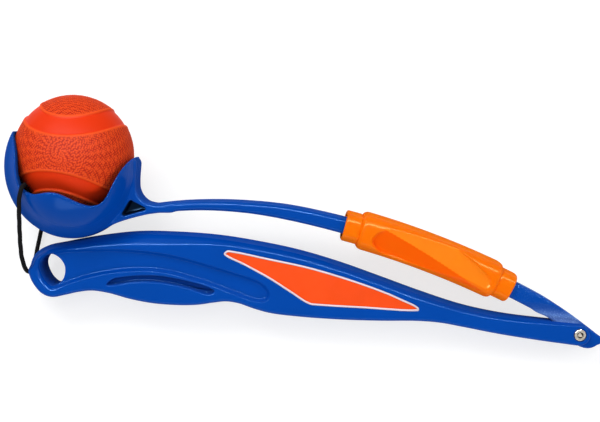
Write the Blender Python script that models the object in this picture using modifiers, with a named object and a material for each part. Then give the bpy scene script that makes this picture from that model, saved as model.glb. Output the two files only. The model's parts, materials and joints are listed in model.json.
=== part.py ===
"""Folding dog ball thrower: a two-shell grip with a forked end, a curved throwing arm whose cup
holds a ball, a locking sleeve on the arm, a screw pivot and an elastic loop that holds it shut.

The part is drawn flat in the plane of its fold, with the pivot at the origin, +X towards the
hinge end, +Y towards the ball and +Z out of the shown side. One empty then lays it down the way
it lies on a table, on the cup and on the edge of the grip. All sizes are in metres."""

import math

import bmesh
import bpy
from mathutils import Matrix, Vector

# Clearances
TOUCH_GAP = 0.0003
HALF_SEAM = 0.00015
RUN_GAP = 0.00035
OVERRUN = 0.004
WELD = 0.000001
MIRROR_MERGE = 0.0001

# How finely round forms are divided
ROUND_SIDES = 28
BALL_SIDES = 32
CUP_SIDES = 44

# Grip, measured from the pivot
GRIP_REACH = 0.300
GRIP_HALF_DEPTH_AT_HINGE = 0.0090
GRIP_HALF_DEPTH_AT_END = 0.0118
EAR_RADIUS = 0.0059
SHOULDER = 0.0046
SHOULDER_AT_HINGE = 0.0016
LOWER_ROUND = 0.0020
GRIP_WALL = 0.0026
RIB_WALL = 0.0018
RIB_PITCH = 0.0290
PANEL_DEPTH = 0.0024
PANEL_DRAFT = 0.0017
GROOVE_DEPTH = 0.0042
BADGE_DEPTH = 0.0018
BADGE_BORDER = 0.0011
BADGE_PROUD = 0.0002
POST_RADIUS = 0.0022
POST_BOSS_RADIUS = 0.0044
POST_REACH = 0.0030

# Hinge
TONGUE_HALF = 0.0046
BARREL_RADIUS = 0.0023
PIVOT_HOLE_RADIUS = 0.0026
SCREW_SHANK_RADIUS = 0.0015
SCREW_HEAD_RADIUS = 0.00315
SCREW_HEAD_DEPTH = 0.0012
HEAD_POCKET_RADIUS = 0.0036
HEAD_POCKET_DEPTH = 0.0017
SOCKET_RADIUS = 0.0019
SOCKET_DEPTH = 0.0008
OPEN_ANGLE = math.radians(149.0)
RAMP_RISE = 0.0090

# Throwing arm
ARM_HALF_DEPTH = 0.0094
ARM_THICK = 0.0090
ARM_ROUND = 0.0022
ARM_FRONT_TILT = math.radians(-12.3)
ARM_BACK_RADIUS = 0.250
ARM_NECK_RADIUS = 0.200
ARM_NECK_RUN = 0.034

# Cup and ball
BALL_RADIUS = 0.0322
BALL_BAND_WIDTH = 0.0105
BALL_BAND_DEPTH = 0.0007
CUP_CLEARANCE = 0.0006
CUP_SIDE_CLEARANCE = 0.0011
CUP_FLOOR_CLEARANCE = 0.0026
CUP_WALL = 0.0031
CUP_SIDE_WALL = 0.0032
CUP_FLOOR = 0.00419
CUP_HOLLOW_HALF_WIDTH = BALL_RADIUS + CUP_CLEARANCE
CUP_HOLLOW_HALF_DEPTH = BALL_RADIUS + CUP_SIDE_CLEARANCE
CUP_HOLLOW_DROP = BALL_RADIUS + CUP_FLOOR_CLEARANCE
CUP_HALF_WIDTH = CUP_HOLLOW_HALF_WIDTH + CUP_WALL
CUP_HALF_DEPTH = CUP_HOLLOW_HALF_DEPTH + CUP_SIDE_WALL
CUP_DROP = CUP_HOLLOW_DROP + CUP_FLOOR
NECK_WEB_HALF = 0.0009
BALL_EXIT_TILT = math.radians(12.6)
BALL_EXIT_RUN = 0.050

# Lock sleeve
SLEEVE_COLLAR = 0.0088
SLEEVE_COLLAR_HALF_HEIGHT = 0.0083
SLEEVE_COLLAR_HALF_DEPTH = 0.0120
SLEEVE_HALF_HEIGHT = 0.0104
SLEEVE_HALF_DEPTH = 0.0134
SLEEVE_BORE_HALF_HEIGHT = 0.0061

# Elastic loop
LOOP_RADIUS = 0.0012
FERRULE_RADIUS = 0.0019
FERRULE_LENGTH = 0.0070

# Outlines, as shares of the grip's reach
GRIP_SHARES = (
    (-0.063, 0.0262), (-0.137, 0.0335), (-0.210, 0.0463), (-0.283, 0.0710),
    (-0.360, 0.0985), (-0.433, 0.1262), (-0.507, 0.1492), (-0.580, 0.1645),
    (-0.653, 0.1755), (-0.727, 0.1815), (-0.800, 0.1830), (-0.873, 0.1775),
    (-0.930, 0.1680), (-0.965, 0.1603), (-0.986, 0.1470), (-0.9945, 0.1270),
    (-0.991, 0.1080), (-0.981, 0.0890), (-0.9685, 0.0762), (-0.952, 0.0705),
    (-0.930, 0.0740), (-0.905, 0.0795), (-0.880, 0.0820), (-0.850, 0.0775),
    (-0.812, 0.0668), (-0.770, 0.0587), (-0.723, 0.0553), (-0.690, 0.0560),
    (-0.663, 0.0597), (-0.640, 0.0620), (-0.617, 0.0585), (-0.590, 0.0490),
    (-0.560, 0.0407), (-0.507, 0.0340), (-0.433, 0.0287), (-0.360, 0.0263),
    (-0.293, 0.0258), (-0.253, 0.0225), (-0.210, 0.0145), (-0.147, 0.0020),
    (-0.073, -0.0100), (-0.030, -0.0160),
)
PANEL_SHARES = (
    (-0.9755, 0.125), (-0.9715, 0.111), (-0.9635, 0.097), (-0.952, 0.0865),
    (-0.918, 0.0968), (-0.881, 0.1078), (-0.833, 0.1165), (-0.785, 0.1187),
    (-0.738, 0.1133), (-0.665, 0.0917), (-0.620, 0.0750), (-0.582, 0.0620),
    (-0.566, 0.0650), (-0.562, 0.0767), (-0.568, 0.0883), (-0.580, 0.0980),
    (-0.620, 0.1123), (-0.665, 0.1263), (-0.739, 0.1463), (-0.810, 0.1553),
    (-0.881, 0.1567), (-0.935, 0.1540), (-0.960, 0.1467), (-0.972, 0.1370),
)
GROOVE_SHARES = (
    (-0.853, 0.0935), (-0.843, 0.1030), (-0.812, 0.1085), (-0.762, 0.1095),
    (-0.714, 0.1010), (-0.672, 0.0890), (-0.660, 0.0815), (-0.668, 0.0755),
    (-0.714, 0.0885), (-0.762, 0.0975), (-0.805, 0.0980), (-0.840, 0.0925),
)
EYE_SHARES = (
    (-0.9735, 0.1260), (-0.9700, 0.1120), (-0.9620, 0.0985), (-0.9510, 0.0905),
    (-0.9400, 0.0945), (-0.9315, 0.1040), (-0.9280, 0.1180), (-0.9300, 0.1300),
    (-0.9390, 0.1420), (-0.9510, 0.1480), (-0.9630, 0.1450), (-0.9705, 0.1370),
)
BADGE_SHARES = (
    (-0.6430, 0.1480), (-0.6370, 0.1550), (-0.6250, 0.1543), (-0.5600, 0.1405),
    (-0.4940, 0.1262), (-0.4250, 0.1060), (-0.3560, 0.0850), (-0.3250, 0.0680),
    (-0.2930, 0.0515), (-0.2920, 0.0460), (-0.3020, 0.0442), (-0.3900, 0.0495),
    (-0.4740, 0.0548), (-0.4900, 0.0570), (-0.5250, 0.0790), (-0.5620, 0.1030),
    (-0.6050, 0.1270),
)
HINGE_OUTLINE_SHARES = (
    (-0.0760, 0.0735), (-0.0670, 0.0700), (-0.044, 0.0563), (-0.006, 0.0303), (0.0317, 0.0017),
    (0.0480, -0.0110), (0.0500, -0.0140), (0.0480, -0.0160), (0.0350, -0.0220),
    (0.0270, -0.0262), (0.0190, -0.0277), (0.0100, -0.0262), (-0.004, -0.0200),
    (-0.0160, -0.0090), (-0.0285, 0.0060), (-0.0540, 0.0290), (-0.0860, 0.0475),
)
RIM_SHARES = (
    (-1.30, 0.3675), (-1.018, 0.3677), (-1.0067, 0.3557), (-0.9977, 0.3303),
    (-0.9957, 0.3067), (-0.9940, 0.2883), (-0.9890, 0.2720), (-0.9813, 0.2640),
    (-0.9653, 0.2590), (-0.9467, 0.2617), (-0.9340, 0.2630), (-0.9203, 0.2607),
    (-0.9020, 0.2520), (-0.8813, 0.2410), (-0.8677, 0.2377), (-0.8513, 0.2433),
    (-0.8407, 0.2577), (-0.8293, 0.2813), (-0.8140, 0.3077), (-0.8033, 0.3203),
    (-0.7950, 0.3235), (-0.70, 0.3235),
)
NECK_SHARES = (
    (-0.730, 0.2395), (-0.752, 0.2370), (-0.768, 0.2372), (-0.782, 0.2407),
    (-0.7920, 0.2490), (-0.7985, 0.2620), (-0.7995, 0.2767), (-0.7985, 0.2950),
    (-0.7985, 0.3150), (-0.8150, 0.3150), (-0.8400, 0.2400), (-0.9300, 0.1850),
    (-0.9100, 0.1790), (-0.8900, 0.1815), (-0.8560, 0.1937), (-0.8330, 0.2040),
    (-0.8000, 0.2140), (-0.7667, 0.2210), (-0.7300, 0.2243),
)
NECK_WINDOW_SHARES = (
    (-0.8080, 0.2452), (-0.8055, 0.2430), (-0.7830, 0.2312), (-0.7800, 0.2290),
    (-0.7830, 0.2270), (-0.8210, 0.2165), (-0.8255, 0.2165), (-0.8260, 0.2200),
    (-0.8130, 0.2420), (-0.8108, 0.2450),
)
ARM_CREST_SHARE = (-0.677, 0.2347)
ARM_FOOT_SHARE = (-0.0745760, 0.0571582)
SLEEVE_HOLLOW_SHARE = 0.17
SLEEVE_FACET_SHARE = 0.14
SLEEVE_START_SHARE = 0.164835
SLEEVE_LENGTH_SHARE = 0.709158
CUP_CENTRE_SHARE = (-0.9177, 0.3033)
CUP_HOLLOW_SHARE = (-0.9155, 0.3087)
BALL_SHARE = (-0.9148, 0.3263)
BALL_RADIUS_SHARE = 0.1073333
POST_SHARES = ((-0.850, 0.1620), (-0.580, 0.0730), (-0.360, 0.0625))
NECK_THICK_SHARES = ((0.0, 0.53), (0.25, 0.60), (0.5, 0.70), (0.75, 0.86), (1.0, 0.95))

# The elastic loop's route, as shares of the grip's reach, from the ferrule round and back
LOOP_SHARES = (
    (-1.0070, 0.2632, 0.0007), (-1.0070, 0.2632, 0.0135), (-1.0040, 0.2645, 0.0310),
    (-0.9950, 0.2675, 0.0510), (-0.9860, 0.2730, 0.0700), (-0.9825, 0.2745, 0.0880),
    (-0.9845, 0.2680, 0.1000), (-0.9885, 0.2500, 0.0990), (-0.9915, 0.2250, 0.0905),
    (-0.9945, 0.1970, 0.0790), (-0.9975, 0.1690, 0.0655), (-0.9995, 0.1430, 0.0500),
    (-0.9985, 0.1200, 0.0300), (-0.9975, 0.1120, 0.0000), (-0.9990, 0.1220, -0.0300),
    (-0.9995, 0.1450, -0.0500), (-0.9975, 0.1700, -0.0655), (-0.9945, 0.1970, -0.0790),
    (-0.9915, 0.2250, -0.0905), (-0.9885, 0.2500, -0.0990), (-0.9845, 0.2680, -0.1000),
    (-0.9825, 0.2745, -0.0880), (-0.9860, 0.2730, -0.0700), (-0.9950, 0.2675, -0.0510),
    (-1.0040, 0.2645, -0.0310), (-1.0070, 0.2632, -0.0135), (-1.0070, 0.2632, -0.0007),
)

BLUE = (0.005, 0.075, 0.36, 1.0)
ORANGE = (0.92, 0.16, 0.005, 1.0)
BALL_ORANGE = (0.83, 0.07, 0.01, 1.0)
PLATE_ORANGE = (0.90, 0.07, 0.01, 1.0)
SILVER = (0.72, 0.72, 0.74, 1.0)
STEEL = (0.62, 0.60, 0.56, 1.0)
BLACK = (0.012, 0.012, 0.013, 1.0)


def clear_scene():
    """Start from an empty file."""
    for item in list(bpy.data.objects):
        bpy.data.objects.remove(item, do_unlink=True)
    for group in list(bpy.data.collections):
        bpy.data.collections.remove(group)


def new_collection(name):
    group = bpy.data.collections.new(name)
    bpy.context.scene.collection.children.link(group)
    return group


def material(name, colour, roughness, metallic=0.0):
    mat = bpy.data.materials.new(name)
    mat.use_nodes = True
    shader = mat.node_tree.nodes["Principled BSDF"]
    shader.inputs["Base Color"].default_value = colour
    shader.inputs["Roughness"].default_value = roughness
    shader.inputs["Metallic"].default_value = metallic
    mat.diffuse_color = colour
    return mat


def scaled(shares, size):
    """Turn a table of shares into points of a given size."""
    return [Vector([value * size for value in point]) for point in shares]


def smooth_loop(points, steps, closed=True):
    """Read a smooth curve through the points, a few steps to each span."""
    count = len(points)
    spans = count if closed else count - 1
    result = []
    for i in range(spans):
        if closed:
            p0, p1, p2, p3 = (points[(i + k) % count] for k in (-1, 0, 1, 2))
        else:
            p1, p2 = points[i], points[i + 1]
            p0 = points[i - 1] if i else p1
            p3 = points[i + 2] if i + 2 < count else p2
        d01 = max((p1 - p0).length, (p2 - p1).length * 0.05) ** 0.5
        d12 = (p2 - p1).length ** 0.5
        d23 = max((p3 - p2).length, (p2 - p1).length * 0.05) ** 0.5
        m1 = (p2 - p1) + ((p1 - p0) / d01 - (p2 - p0) / (d01 + d12)) * d12
        m2 = (p2 - p1) + ((p3 - p2) / d23 - (p3 - p1) / (d12 + d23)) * d12
        for k in range(steps):
            t = k / steps
            h00 = 2 * t ** 3 - 3 * t ** 2 + 1
            h10 = t ** 3 - 2 * t ** 2 + t
            h01 = -2 * t ** 3 + 3 * t ** 2
            h11 = t ** 3 - t ** 2
            result.append(p1 * h00 + m1 * h10 + p2 * h01 + m2 * h11)
    if not closed:
        result.append(points[-1])
    return result


def signed_area(loop):
    total = 0.0
    for i, p in enumerate(loop):
        q = loop[(i + 1) % len(loop)]
        total += p[0] * q[1] - q[0] * p[1]
    return total / 2


def inward(loop):
    """Unit normals that point into a flat closed outline."""
    side = 1.0 if signed_area(loop) > 0 else -1.0
    count = len(loop)
    normals = []
    for i in range(count):
        along = loop[(i + 1) % count] - loop[i - 1]
        normals.append(Vector((-along[1], along[0])).normalized() * side)
    return normals


def inset(loop, distance):
    return [p + n * distance for p, n in zip(loop, inward(loop))]


def link(name, mesh, group, mat=None, parent=None):
    obj = bpy.data.objects.new(name, mesh)
    group.objects.link(obj)
    if mat is not None:
        mesh.materials.append(mat)
    if parent is not None:
        obj.parent = parent
    return obj


def finish_mesh(name, bm, smooth=math.radians(32.0)):
    bmesh.ops.remove_doubles(bm, verts=bm.verts, dist=WELD)
    bmesh.ops.recalc_face_normals(bm, faces=bm.faces)
    if bm.calc_volume(signed=True) < 0:
        bmesh.ops.reverse_faces(bm, faces=bm.faces)
    mesh = bpy.data.meshes.new(name)
    bm.to_mesh(mesh)
    bm.free()
    mesh.shade_smooth()
    mesh.set_sharp_from_angle(angle=smooth)
    return mesh


def ring_mesh(name, rings):
    """Skin a stack of closed rings and cap both ends."""
    bm = bmesh.new()
    rows = [[bm.verts.new(p) for p in ring] for ring in rings]
    for low, high in zip(rows, rows[1:]):
        for i in range(len(low)):
            j = (i + 1) % len(low)
            bm.faces.new((low[i], low[j], high[j], high[i]))
    bm.faces.new(list(reversed(rows[0])))
    bm.faces.new(rows[-1])
    return finish_mesh(name, bm)


def tube_mesh(name, rings):
    """Skin rings that close on themselves, such as a sleeve's outside and its bore."""
    bm = bmesh.new()
    rows = [[bm.verts.new(p) for p in ring] for ring in rings]
    for k, low in enumerate(rows):
        high = rows[(k + 1) % len(rows)]
        for i in range(len(low)):
            j = (i + 1) % len(low)
            bm.faces.new((low[i], low[j], high[j], high[i]))
    return finish_mesh(name, bm)


def slab(name, loop, low, high, group):
    """A flat outline made thick between two heights, used as a cutter or as a plain plate."""
    rings = [[(p[0], p[1], z) for p in loop] for z in (low, high)]
    return link(name, ring_mesh(name, rings), group)


def cylinder(name, radius, low, high, group, centre=(0.0, 0.0), sides=ROUND_SIDES):
    bm = bmesh.new()
    bmesh.ops.create_cone(bm, cap_ends=True, segments=sides, radius1=radius, radius2=radius,
                          depth=high - low)
    bmesh.ops.translate(bm, verts=bm.verts, vec=(centre[0], centre[1], (low + high) / 2))
    return link(name, finish_mesh(name, bm), group)


def ellipsoid(name, centre, halves, group, across):
    bm = bmesh.new()
    bmesh.ops.create_uvsphere(bm, u_segments=across, v_segments=across * 3 // 5, radius=1.0)
    bmesh.ops.scale(bm, verts=bm.verts, vec=halves)
    bmesh.ops.translate(bm, verts=bm.verts, vec=centre)
    return link(name, finish_mesh(name, bm), group)


def boolean(target, tool, kind):
    """Leave a Boolean on the target and hide the tool it uses."""
    mod = target.modifiers.new(kind.lower() + "_" + tool.name, "BOOLEAN")
    mod.operation = kind
    mod.solver = "EXACT"
    mod.object = tool
    tool.hide_render = True
    tool.display_type = "WIRE"
    return mod


def grip_half_depth(x):
    share = min(max(-x / GRIP_REACH, 0.0), 1.0)
    return GRIP_HALF_DEPTH_AT_HINGE + (GRIP_HALF_DEPTH_AT_END - GRIP_HALF_DEPTH_AT_HINGE) * share


def grip_outline():
    """The grip's side outline, ending in a round ear about the pivot."""
    points = scaled(GRIP_SHARES, GRIP_REACH)
    arc = []
    for k in range(9):
        angle = math.radians(-98.0 + k * 23.5)
        arc.append(Vector((math.cos(angle), math.sin(angle))) * EAR_RADIUS)
    return smooth_loop(points + arc, 2)


def shoulder_profile(half_depth, radius):
    """The broad, bowed shoulder of the upper side: inset and height at each level."""
    end = math.radians(62.0)
    levels = [(0.0, HALF_SEAM)]
    for share in (0.46, 0.80):
        angle = end * share
        levels.append((radius * (1 - math.cos(angle)) / (1 - math.cos(end)) * 0.86,
                       half_depth * math.sin(angle) / math.sin(end)))
    levels.append((radius * 0.90, half_depth - radius * 0.05))
    levels.append((radius, half_depth))
    return levels


def edge_profile(half_depth, radius):
    """The crisp lower edge: an upright wall and a small round."""
    levels = [(0.0, HALF_SEAM), (0.0, half_depth - radius)]
    for angle in (math.radians(35.0), math.radians(65.0)):
        levels.append((radius * (1 - math.cos(angle)), half_depth - radius * (1 - math.sin(angle))))
    levels.append((radius, half_depth))
    return levels


def grip_body(name, group, mat, parent, side):
    """One solid half of the grip, on the shown side (+1) or the hidden side (-1)."""
    loop = grip_outline()
    normals = inward(loop)
    rings = [[] for _ in range(5)]
    for p, n in zip(loop, normals):
        deep = grip_half_depth(p[0])
        near = min(max(-p[0] / (GRIP_REACH * 0.3), 0.0), 1.0)
        shoulder = SHOULDER_AT_HINGE + (SHOULDER - SHOULDER_AT_HINGE) * near
        low = SHOULDER_AT_HINGE + (LOWER_ROUND - SHOULDER_AT_HINGE) * near
        upper = min(max(0.5 - n[1] * 1.6, 0.0), 1.0)
        upper = upper * upper * (3 - 2 * upper)
        top = shoulder_profile(deep, shoulder)
        bottom = edge_profile(deep, low)
        for k in range(5):
            d = top[k][0] * upper + bottom[k][0] * (1 - upper)
            z = top[k][1] * upper + bottom[k][1] * (1 - upper)
            q = p + n * d
            if k == 4:
                z = grip_half_depth(q[0])
            rings[k].append((q[0], q[1], z * side))
    return link(name, ring_mesh(name, rings), group, mat, parent)


def pocket_cutter(name, group, side, floor):
    """The moulded hollow of a shell: the outline set in by the wall, less its ribs and bosses."""
    loop = inset(grip_outline(), GRIP_WALL + SHOULDER * 0.5)
    left, right = -GRIP_REACH * 0.895, -GRIP_REACH * 0.325
    kept = [p for p in loop if left < p[0] < right]
    low, high = sorted((-side * OVERRUN, side * floor))
    cutter = slab(name, kept, low, high, group)
    count = int((right - left) / RIB_PITCH)
    for k in range(1, count + 1):
        x = left + (right - left) * k / (count + 1)
        half = RIB_WALL / 2
        box = [Vector((x - half, -GRIP_REACH)), Vector((x + half, -GRIP_REACH)),
               Vector((x + half, GRIP_REACH)), Vector((x - half, GRIP_REACH))]
        rib = slab(name + "_rib_" + str(k), box, -OVERRUN * 4, OVERRUN * 4, group)
        boolean(cutter, rib, "DIFFERENCE")
    for k, share in enumerate(POST_SHARES):
        spot = (share[0] * GRIP_REACH, share[1] * GRIP_REACH)
        boss = cylinder(name + "_boss_" + str(k), POST_BOSS_RADIUS, -OVERRUN * 4, OVERRUN * 4, group,
                        spot, 24)
        boolean(cutter, boss, "DIFFERENCE")
    return cutter


def tapered_pocket(name, shares, depth, draft, group, side):
    """A recess in the grip's face whose walls lean out by the draft."""
    loop = smooth_loop(scaled(shares, GRIP_REACH), 2)
    small = inset(loop, draft)
    rings = []
    for outline, drop in ((small, depth), (loop, 0.0)):
        rings.append([(p[0], p[1], side * (grip_half_depth(p[0]) - drop)) for p in outline])
    rings.append([(p[0], p[1], side * (grip_half_depth(p[0]) + OVERRUN)) for p in loop])
    return link(name, ring_mesh(name, rings), group)


def clearance(point, loop):
    """The distance from a point to a closed outline."""
    least = math.inf
    for i, p in enumerate(loop):
        side = loop[(i + 1) % len(loop)] - p
        share = min(max((point - p).dot(side) / side.length_squared, 0.0), 1.0)
        least = min(least, (p + side * share - point).length)
    return least


def turned(point, angle):
    c, s = math.cos(angle), math.sin(angle)
    return Vector((point[0] * c - point[1] * s, point[0] * s + point[1] * c))


def crossing(p, d, q, e):
    """Where two lines in the plane meet."""
    det = d[0] * e[1] - d[1] * e[0]
    t = ((q[0] - p[0]) * e[1] - (q[1] - p[1]) * e[0]) / det
    return p + d * t


def fork_slot(group):
    """The gap between the ears. Its end is a V: the shut arm lies along the upper wall and the
    nose meets the lower wall when the thrower is fully open."""
    pts = scaled(HINGE_OUTLINE_SHARES, GRIP_REACH)
    a, b = pts[15], pts[14]
    upper_dir = (b - a).normalized()
    upper_point = a + Vector((upper_dir[1], -upper_dir[0])) * RUN_GAP * (
        1 if upper_dir[1] < 0 else -1)
    tip, heel = turned(pts[7], -OPEN_ANGLE), turned(pts[8], -OPEN_ANGLE)
    lower_dir = (heel - tip).normalized()
    lower_point = tip + Vector((-lower_dir[1], lower_dir[0])) * RUN_GAP
    apex = crossing(upper_point, upper_dir, lower_point, lower_dir)
    far = GRIP_REACH * 0.2
    polygon = [apex, apex - lower_dir * far, Vector((far, -far)), Vector((far, far)),
               apex - upper_dir * far]
    half = TONGUE_HALF + TOUCH_GAP
    return slab("cut_fork_slot", polygon, -half, half, group)


def build_grip(parts, cutters, root, blue, orange, silver):
    slot = fork_slot(cutters)
    pivot_hole = cylinder("cut_grip_pivot_hole", PIVOT_HOLE_RADIUS, -OVERRUN * 4, OVERRUN * 4, cutters)
    eye = slab("cut_eye", smooth_loop(scaled(EYE_SHARES, GRIP_REACH), 2), -OVERRUN * 5, OVERRUN * 5,
               cutters)
    shells = []
    for name, side in (("handle_front_shell", 1), ("handle_rear_shell", -1)):
        shell = grip_body(name, parts, blue, root, side)
        floor = GRIP_HALF_DEPTH_AT_HINGE - GROOVE_DEPTH + BADGE_DEPTH * 0.5
        boolean(shell, pocket_cutter("cut_hollow_" + name, cutters, side, floor), "DIFFERENCE")
        panel = tapered_pocket("cut_panel_" + name, PANEL_SHARES, PANEL_DEPTH, PANEL_DRAFT, cutters, side)
        groove = tapered_pocket("cut_groove_" + name, GROOVE_SHARES, GROOVE_DEPTH, 0.0, cutters, side)
        for tool in (panel, groove, eye, slot, pivot_hole):
            boolean(shell, tool, "DIFFERENCE")
        low, high = sorted((side * (GRIP_HALF_DEPTH_AT_HINGE - HEAD_POCKET_DEPTH),
                            side * (GRIP_HALF_DEPTH_AT_HINGE + OVERRUN)))
        boolean(shell, cylinder("cut_head_" + name, HEAD_POCKET_RADIUS, low, high, cutters), "DIFFERENCE")
        for k, share in enumerate(POST_SHARES):
            spot = (share[0] * GRIP_REACH, share[1] * GRIP_REACH)
            if side > 0:
                post = cylinder("add_post_" + str(k), POST_RADIUS, -POST_REACH, POST_REACH, cutters,
                                spot, 20)
                boolean(shell, post, "UNION")
            else:
                socket = cylinder("cut_socket_" + str(k), POST_RADIUS + TOUCH_GAP,
                                  -POST_REACH - TOUCH_GAP, POST_REACH, cutters, spot, 20)
                boolean(shell, socket, "DIFFERENCE")
        shells.append(shell)
    badge = smooth_loop(scaled(BADGE_SHARES, GRIP_REACH), 2)
    recess = tapered_pocket("cut_badge", BADGE_SHARES, BADGE_DEPTH, 0.0, cutters, 1)
    boolean(shells[0], recess, "DIFFERENCE")
    outer = inset(badge, TOUCH_GAP * 0.7)
    inner = inset(badge, BADGE_BORDER)
    plate = [p for p in inset(inner, TOUCH_GAP * 0.7) if clearance(p, inner) > TOUCH_GAP * 0.65]
    base = -BADGE_DEPTH + TOUCH_GAP

    def level(points, rise):
        return [(p[0], p[1], grip_half_depth(p[0]) + rise) for p in points]

    trim = tube_mesh("badge_trim", [level(outer, base), level(outer, BADGE_PROUD * 0.5),
                                    level(inset(outer, BADGE_PROUD), BADGE_PROUD),
                                    level(inner, BADGE_PROUD), level(inner, base)])
    link("badge_trim", trim, parts, silver, root)
    face = ring_mesh("badge_plate", [level(plate, base), level(plate, 0.0)])
    link("badge_plate", face, parts, orange, root)


def front_arc_start():
    crest = Vector(ARM_CREST_SHARE) * GRIP_REACH
    centre = crest - Vector((0.0, ARM_BACK_RADIUS))
    return centre + turned(Vector((0.0, ARM_BACK_RADIUS)), ARM_FRONT_TILT)


def front_arc():
    """Centre, radius and run of the arc that leaves the back arc smoothly and ends at the foot."""
    start = front_arc_start()
    chord = Vector(ARM_FOOT_SHARE) * GRIP_REACH - start
    up = turned(Vector((0.0, 1.0)), ARM_FRONT_TILT)
    radius = -chord.length_squared / (2 * chord.dot(up))
    run = 2 * radius * math.asin(chord.length / (2 * radius))
    return start - up * radius, radius, run


def front_arc_point(share):
    """A point on the arm's front arc, at a share of the way along it."""
    centre, radius, run = front_arc()
    return centre + turned(front_arc_start() - centre, -run * share / radius)


def arm_stations():
    """Centreline points, upward normals and thickness shares from the neck to the hinge."""
    crest = Vector(ARM_CREST_SHARE) * GRIP_REACH
    stations = []
    for k in range(5):
        run = ARM_NECK_RUN * (1 - k / 5)
        angle = run / ARM_NECK_RADIUS
        up = turned(Vector((0.0, 1.0)), angle)
        point = crest - Vector((0.0, ARM_NECK_RADIUS)) + up * ARM_NECK_RADIUS
        stations.append((point, up, thick_share(0.25 * k / 5)))
    for k in range(7):
        angle = ARM_FRONT_TILT * k / 7
        up = turned(Vector((0.0, 1.0)), angle)
        point = crest - Vector((0.0, ARM_BACK_RADIUS)) + up * ARM_BACK_RADIUS
        stations.append((point, up, thick_share(0.25 + 0.6 * k / 7)))
    for k in range(19):
        share = k / 18
        point = front_arc_point(share)
        up = (point - front_arc()[0]).normalized()
        stations.append((point, up, thick_share(0.85 + share)))
    return stations


def thick_share(at):
    table = NECK_THICK_SHARES
    if at >= table[-1][0]:
        return min(table[-1][1] + (at - table[-1][0]) * 0.25, 1.0)
    for (a, va), (b, vb) in zip(table, table[1:]):
        if a <= at <= b:
            return va + (vb - va) * (at - a) / (b - a)
    return table[0][1]


def rounded_box(half_height, half_depth, radius, corner=3):
    """Points round a rounded rectangle, as (height, depth), anticlockwise."""
    radius = min(radius, half_height * 0.9)
    centres = ((1, 1, 0), (-1, 1, 90), (-1, -1, 180), (1, -1, 270))
    points = []
    for sh, sd, start in centres:
        for k in range(corner + 1):
            angle = math.radians(start + 90.0 * k / corner)
            points.append((sh * (half_height - radius) + radius * math.cos(angle),
                           sd * (half_depth - radius) + radius * math.sin(angle)))
    return points


def arm_bar(name, group):
    rings = []
    stations = arm_stations()
    for k, (point, up, share) in enumerate(stations):
        crisp = min((len(stations) - 1 - k) / 6, 1.0)
        section = rounded_box(ARM_THICK * share / 2, ARM_HALF_DEPTH, ARM_ROUND * (0.4 + 0.6 * crisp))
        rings.append([(point[0] + up[0] * h, point[1] + up[1] * h, d) for h, d in section])
    return link(name, ring_mesh(name, rings), group)


def flat_piece(name, pts, half_depth, radius, group):
    """A flat outline of full depth with its long edges rounded, drawn about the mid-plane."""
    loop = smooth_loop(pts, 2)
    levels = [(radius, half_depth), (radius * 0.3, half_depth - radius * 0.3), (0.0, half_depth - radius)]
    rings = []
    for d, z in levels:
        rings.append([(p[0], p[1], z) for p in inset(loop, d)])
    for d, z in reversed(levels):
        rings.append([(p[0], p[1], -z) for p in inset(loop, d)])
    return link(name, ring_mesh(name, rings), group)


def handle_top_height(x):
    """Height of the grip's upper edge at a place along it."""
    best = None
    loop = grip_outline()
    for i, p in enumerate(loop):
        q = loop[(i + 1) % len(loop)]
        if min(p[0], q[0]) <= x <= max(p[0], q[0]) and p[0] != q[0]:
            y = p[1] + (q[1] - p[1]) * (x - p[0]) / (q[0] - p[0])
            best = y if best is None else max(best, y)
    return best


def cup_centre():
    """The cup's middle, so high that the shut cup rests on the grip with the touching gap."""
    x = CUP_CENTRE_SHARE[0] * GRIP_REACH
    highest = None
    for k in range(-30, 31):
        share = k / 40
        top = handle_top_height(x + CUP_HALF_WIDTH * share)
        if top is not None:
            need = top + TOUCH_GAP * 1.3 + CUP_DROP * math.sqrt(1 - share * share)
            highest = need if highest is None else max(highest, need)
    return Vector((x, highest))


def by_cup(point, keep=1.0):
    """A table's point placed from the cup and sized by the ball, or partly by the grip."""
    size = BALL_RADIUS / BALL_RADIUS_SHARE
    flat = Vector(point[:2]) - Vector(CUP_CENTRE_SHARE)
    near = cup_centre() + flat * size
    far = Vector(point[:2]) * GRIP_REACH
    spot = near * keep + far * (1 - keep)
    if len(point) == 2:
        return spot
    return Vector((spot[0], spot[1], point[2] * (size * keep + GRIP_REACH * (1 - keep))))


def neck_outline():
    """The neck's outline: it belongs to the cup at its left end and to the bar at its right."""
    return [by_cup(p, min(max((-0.76 - p[0]) / 0.04, 0.0), 1.0)) for p in NECK_SHARES]


def loop_points():
    """The loop's route: it belongs to the cup at its top and to the grip's end at its foot."""
    return [by_cup(p, min(max((p[1] - 0.15) / 0.10, 0.0), 1.0)) for p in LOOP_SHARES]


def mirrored(tool):
    """The same tool again on the other side of the mid-plane."""
    mirror = tool.modifiers.new("both_sides", "MIRROR")
    mirror.use_axis = (False, False, True)
    mirror.use_mirror_merge = False
    mirror.merge_threshold = MIRROR_MERGE


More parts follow.
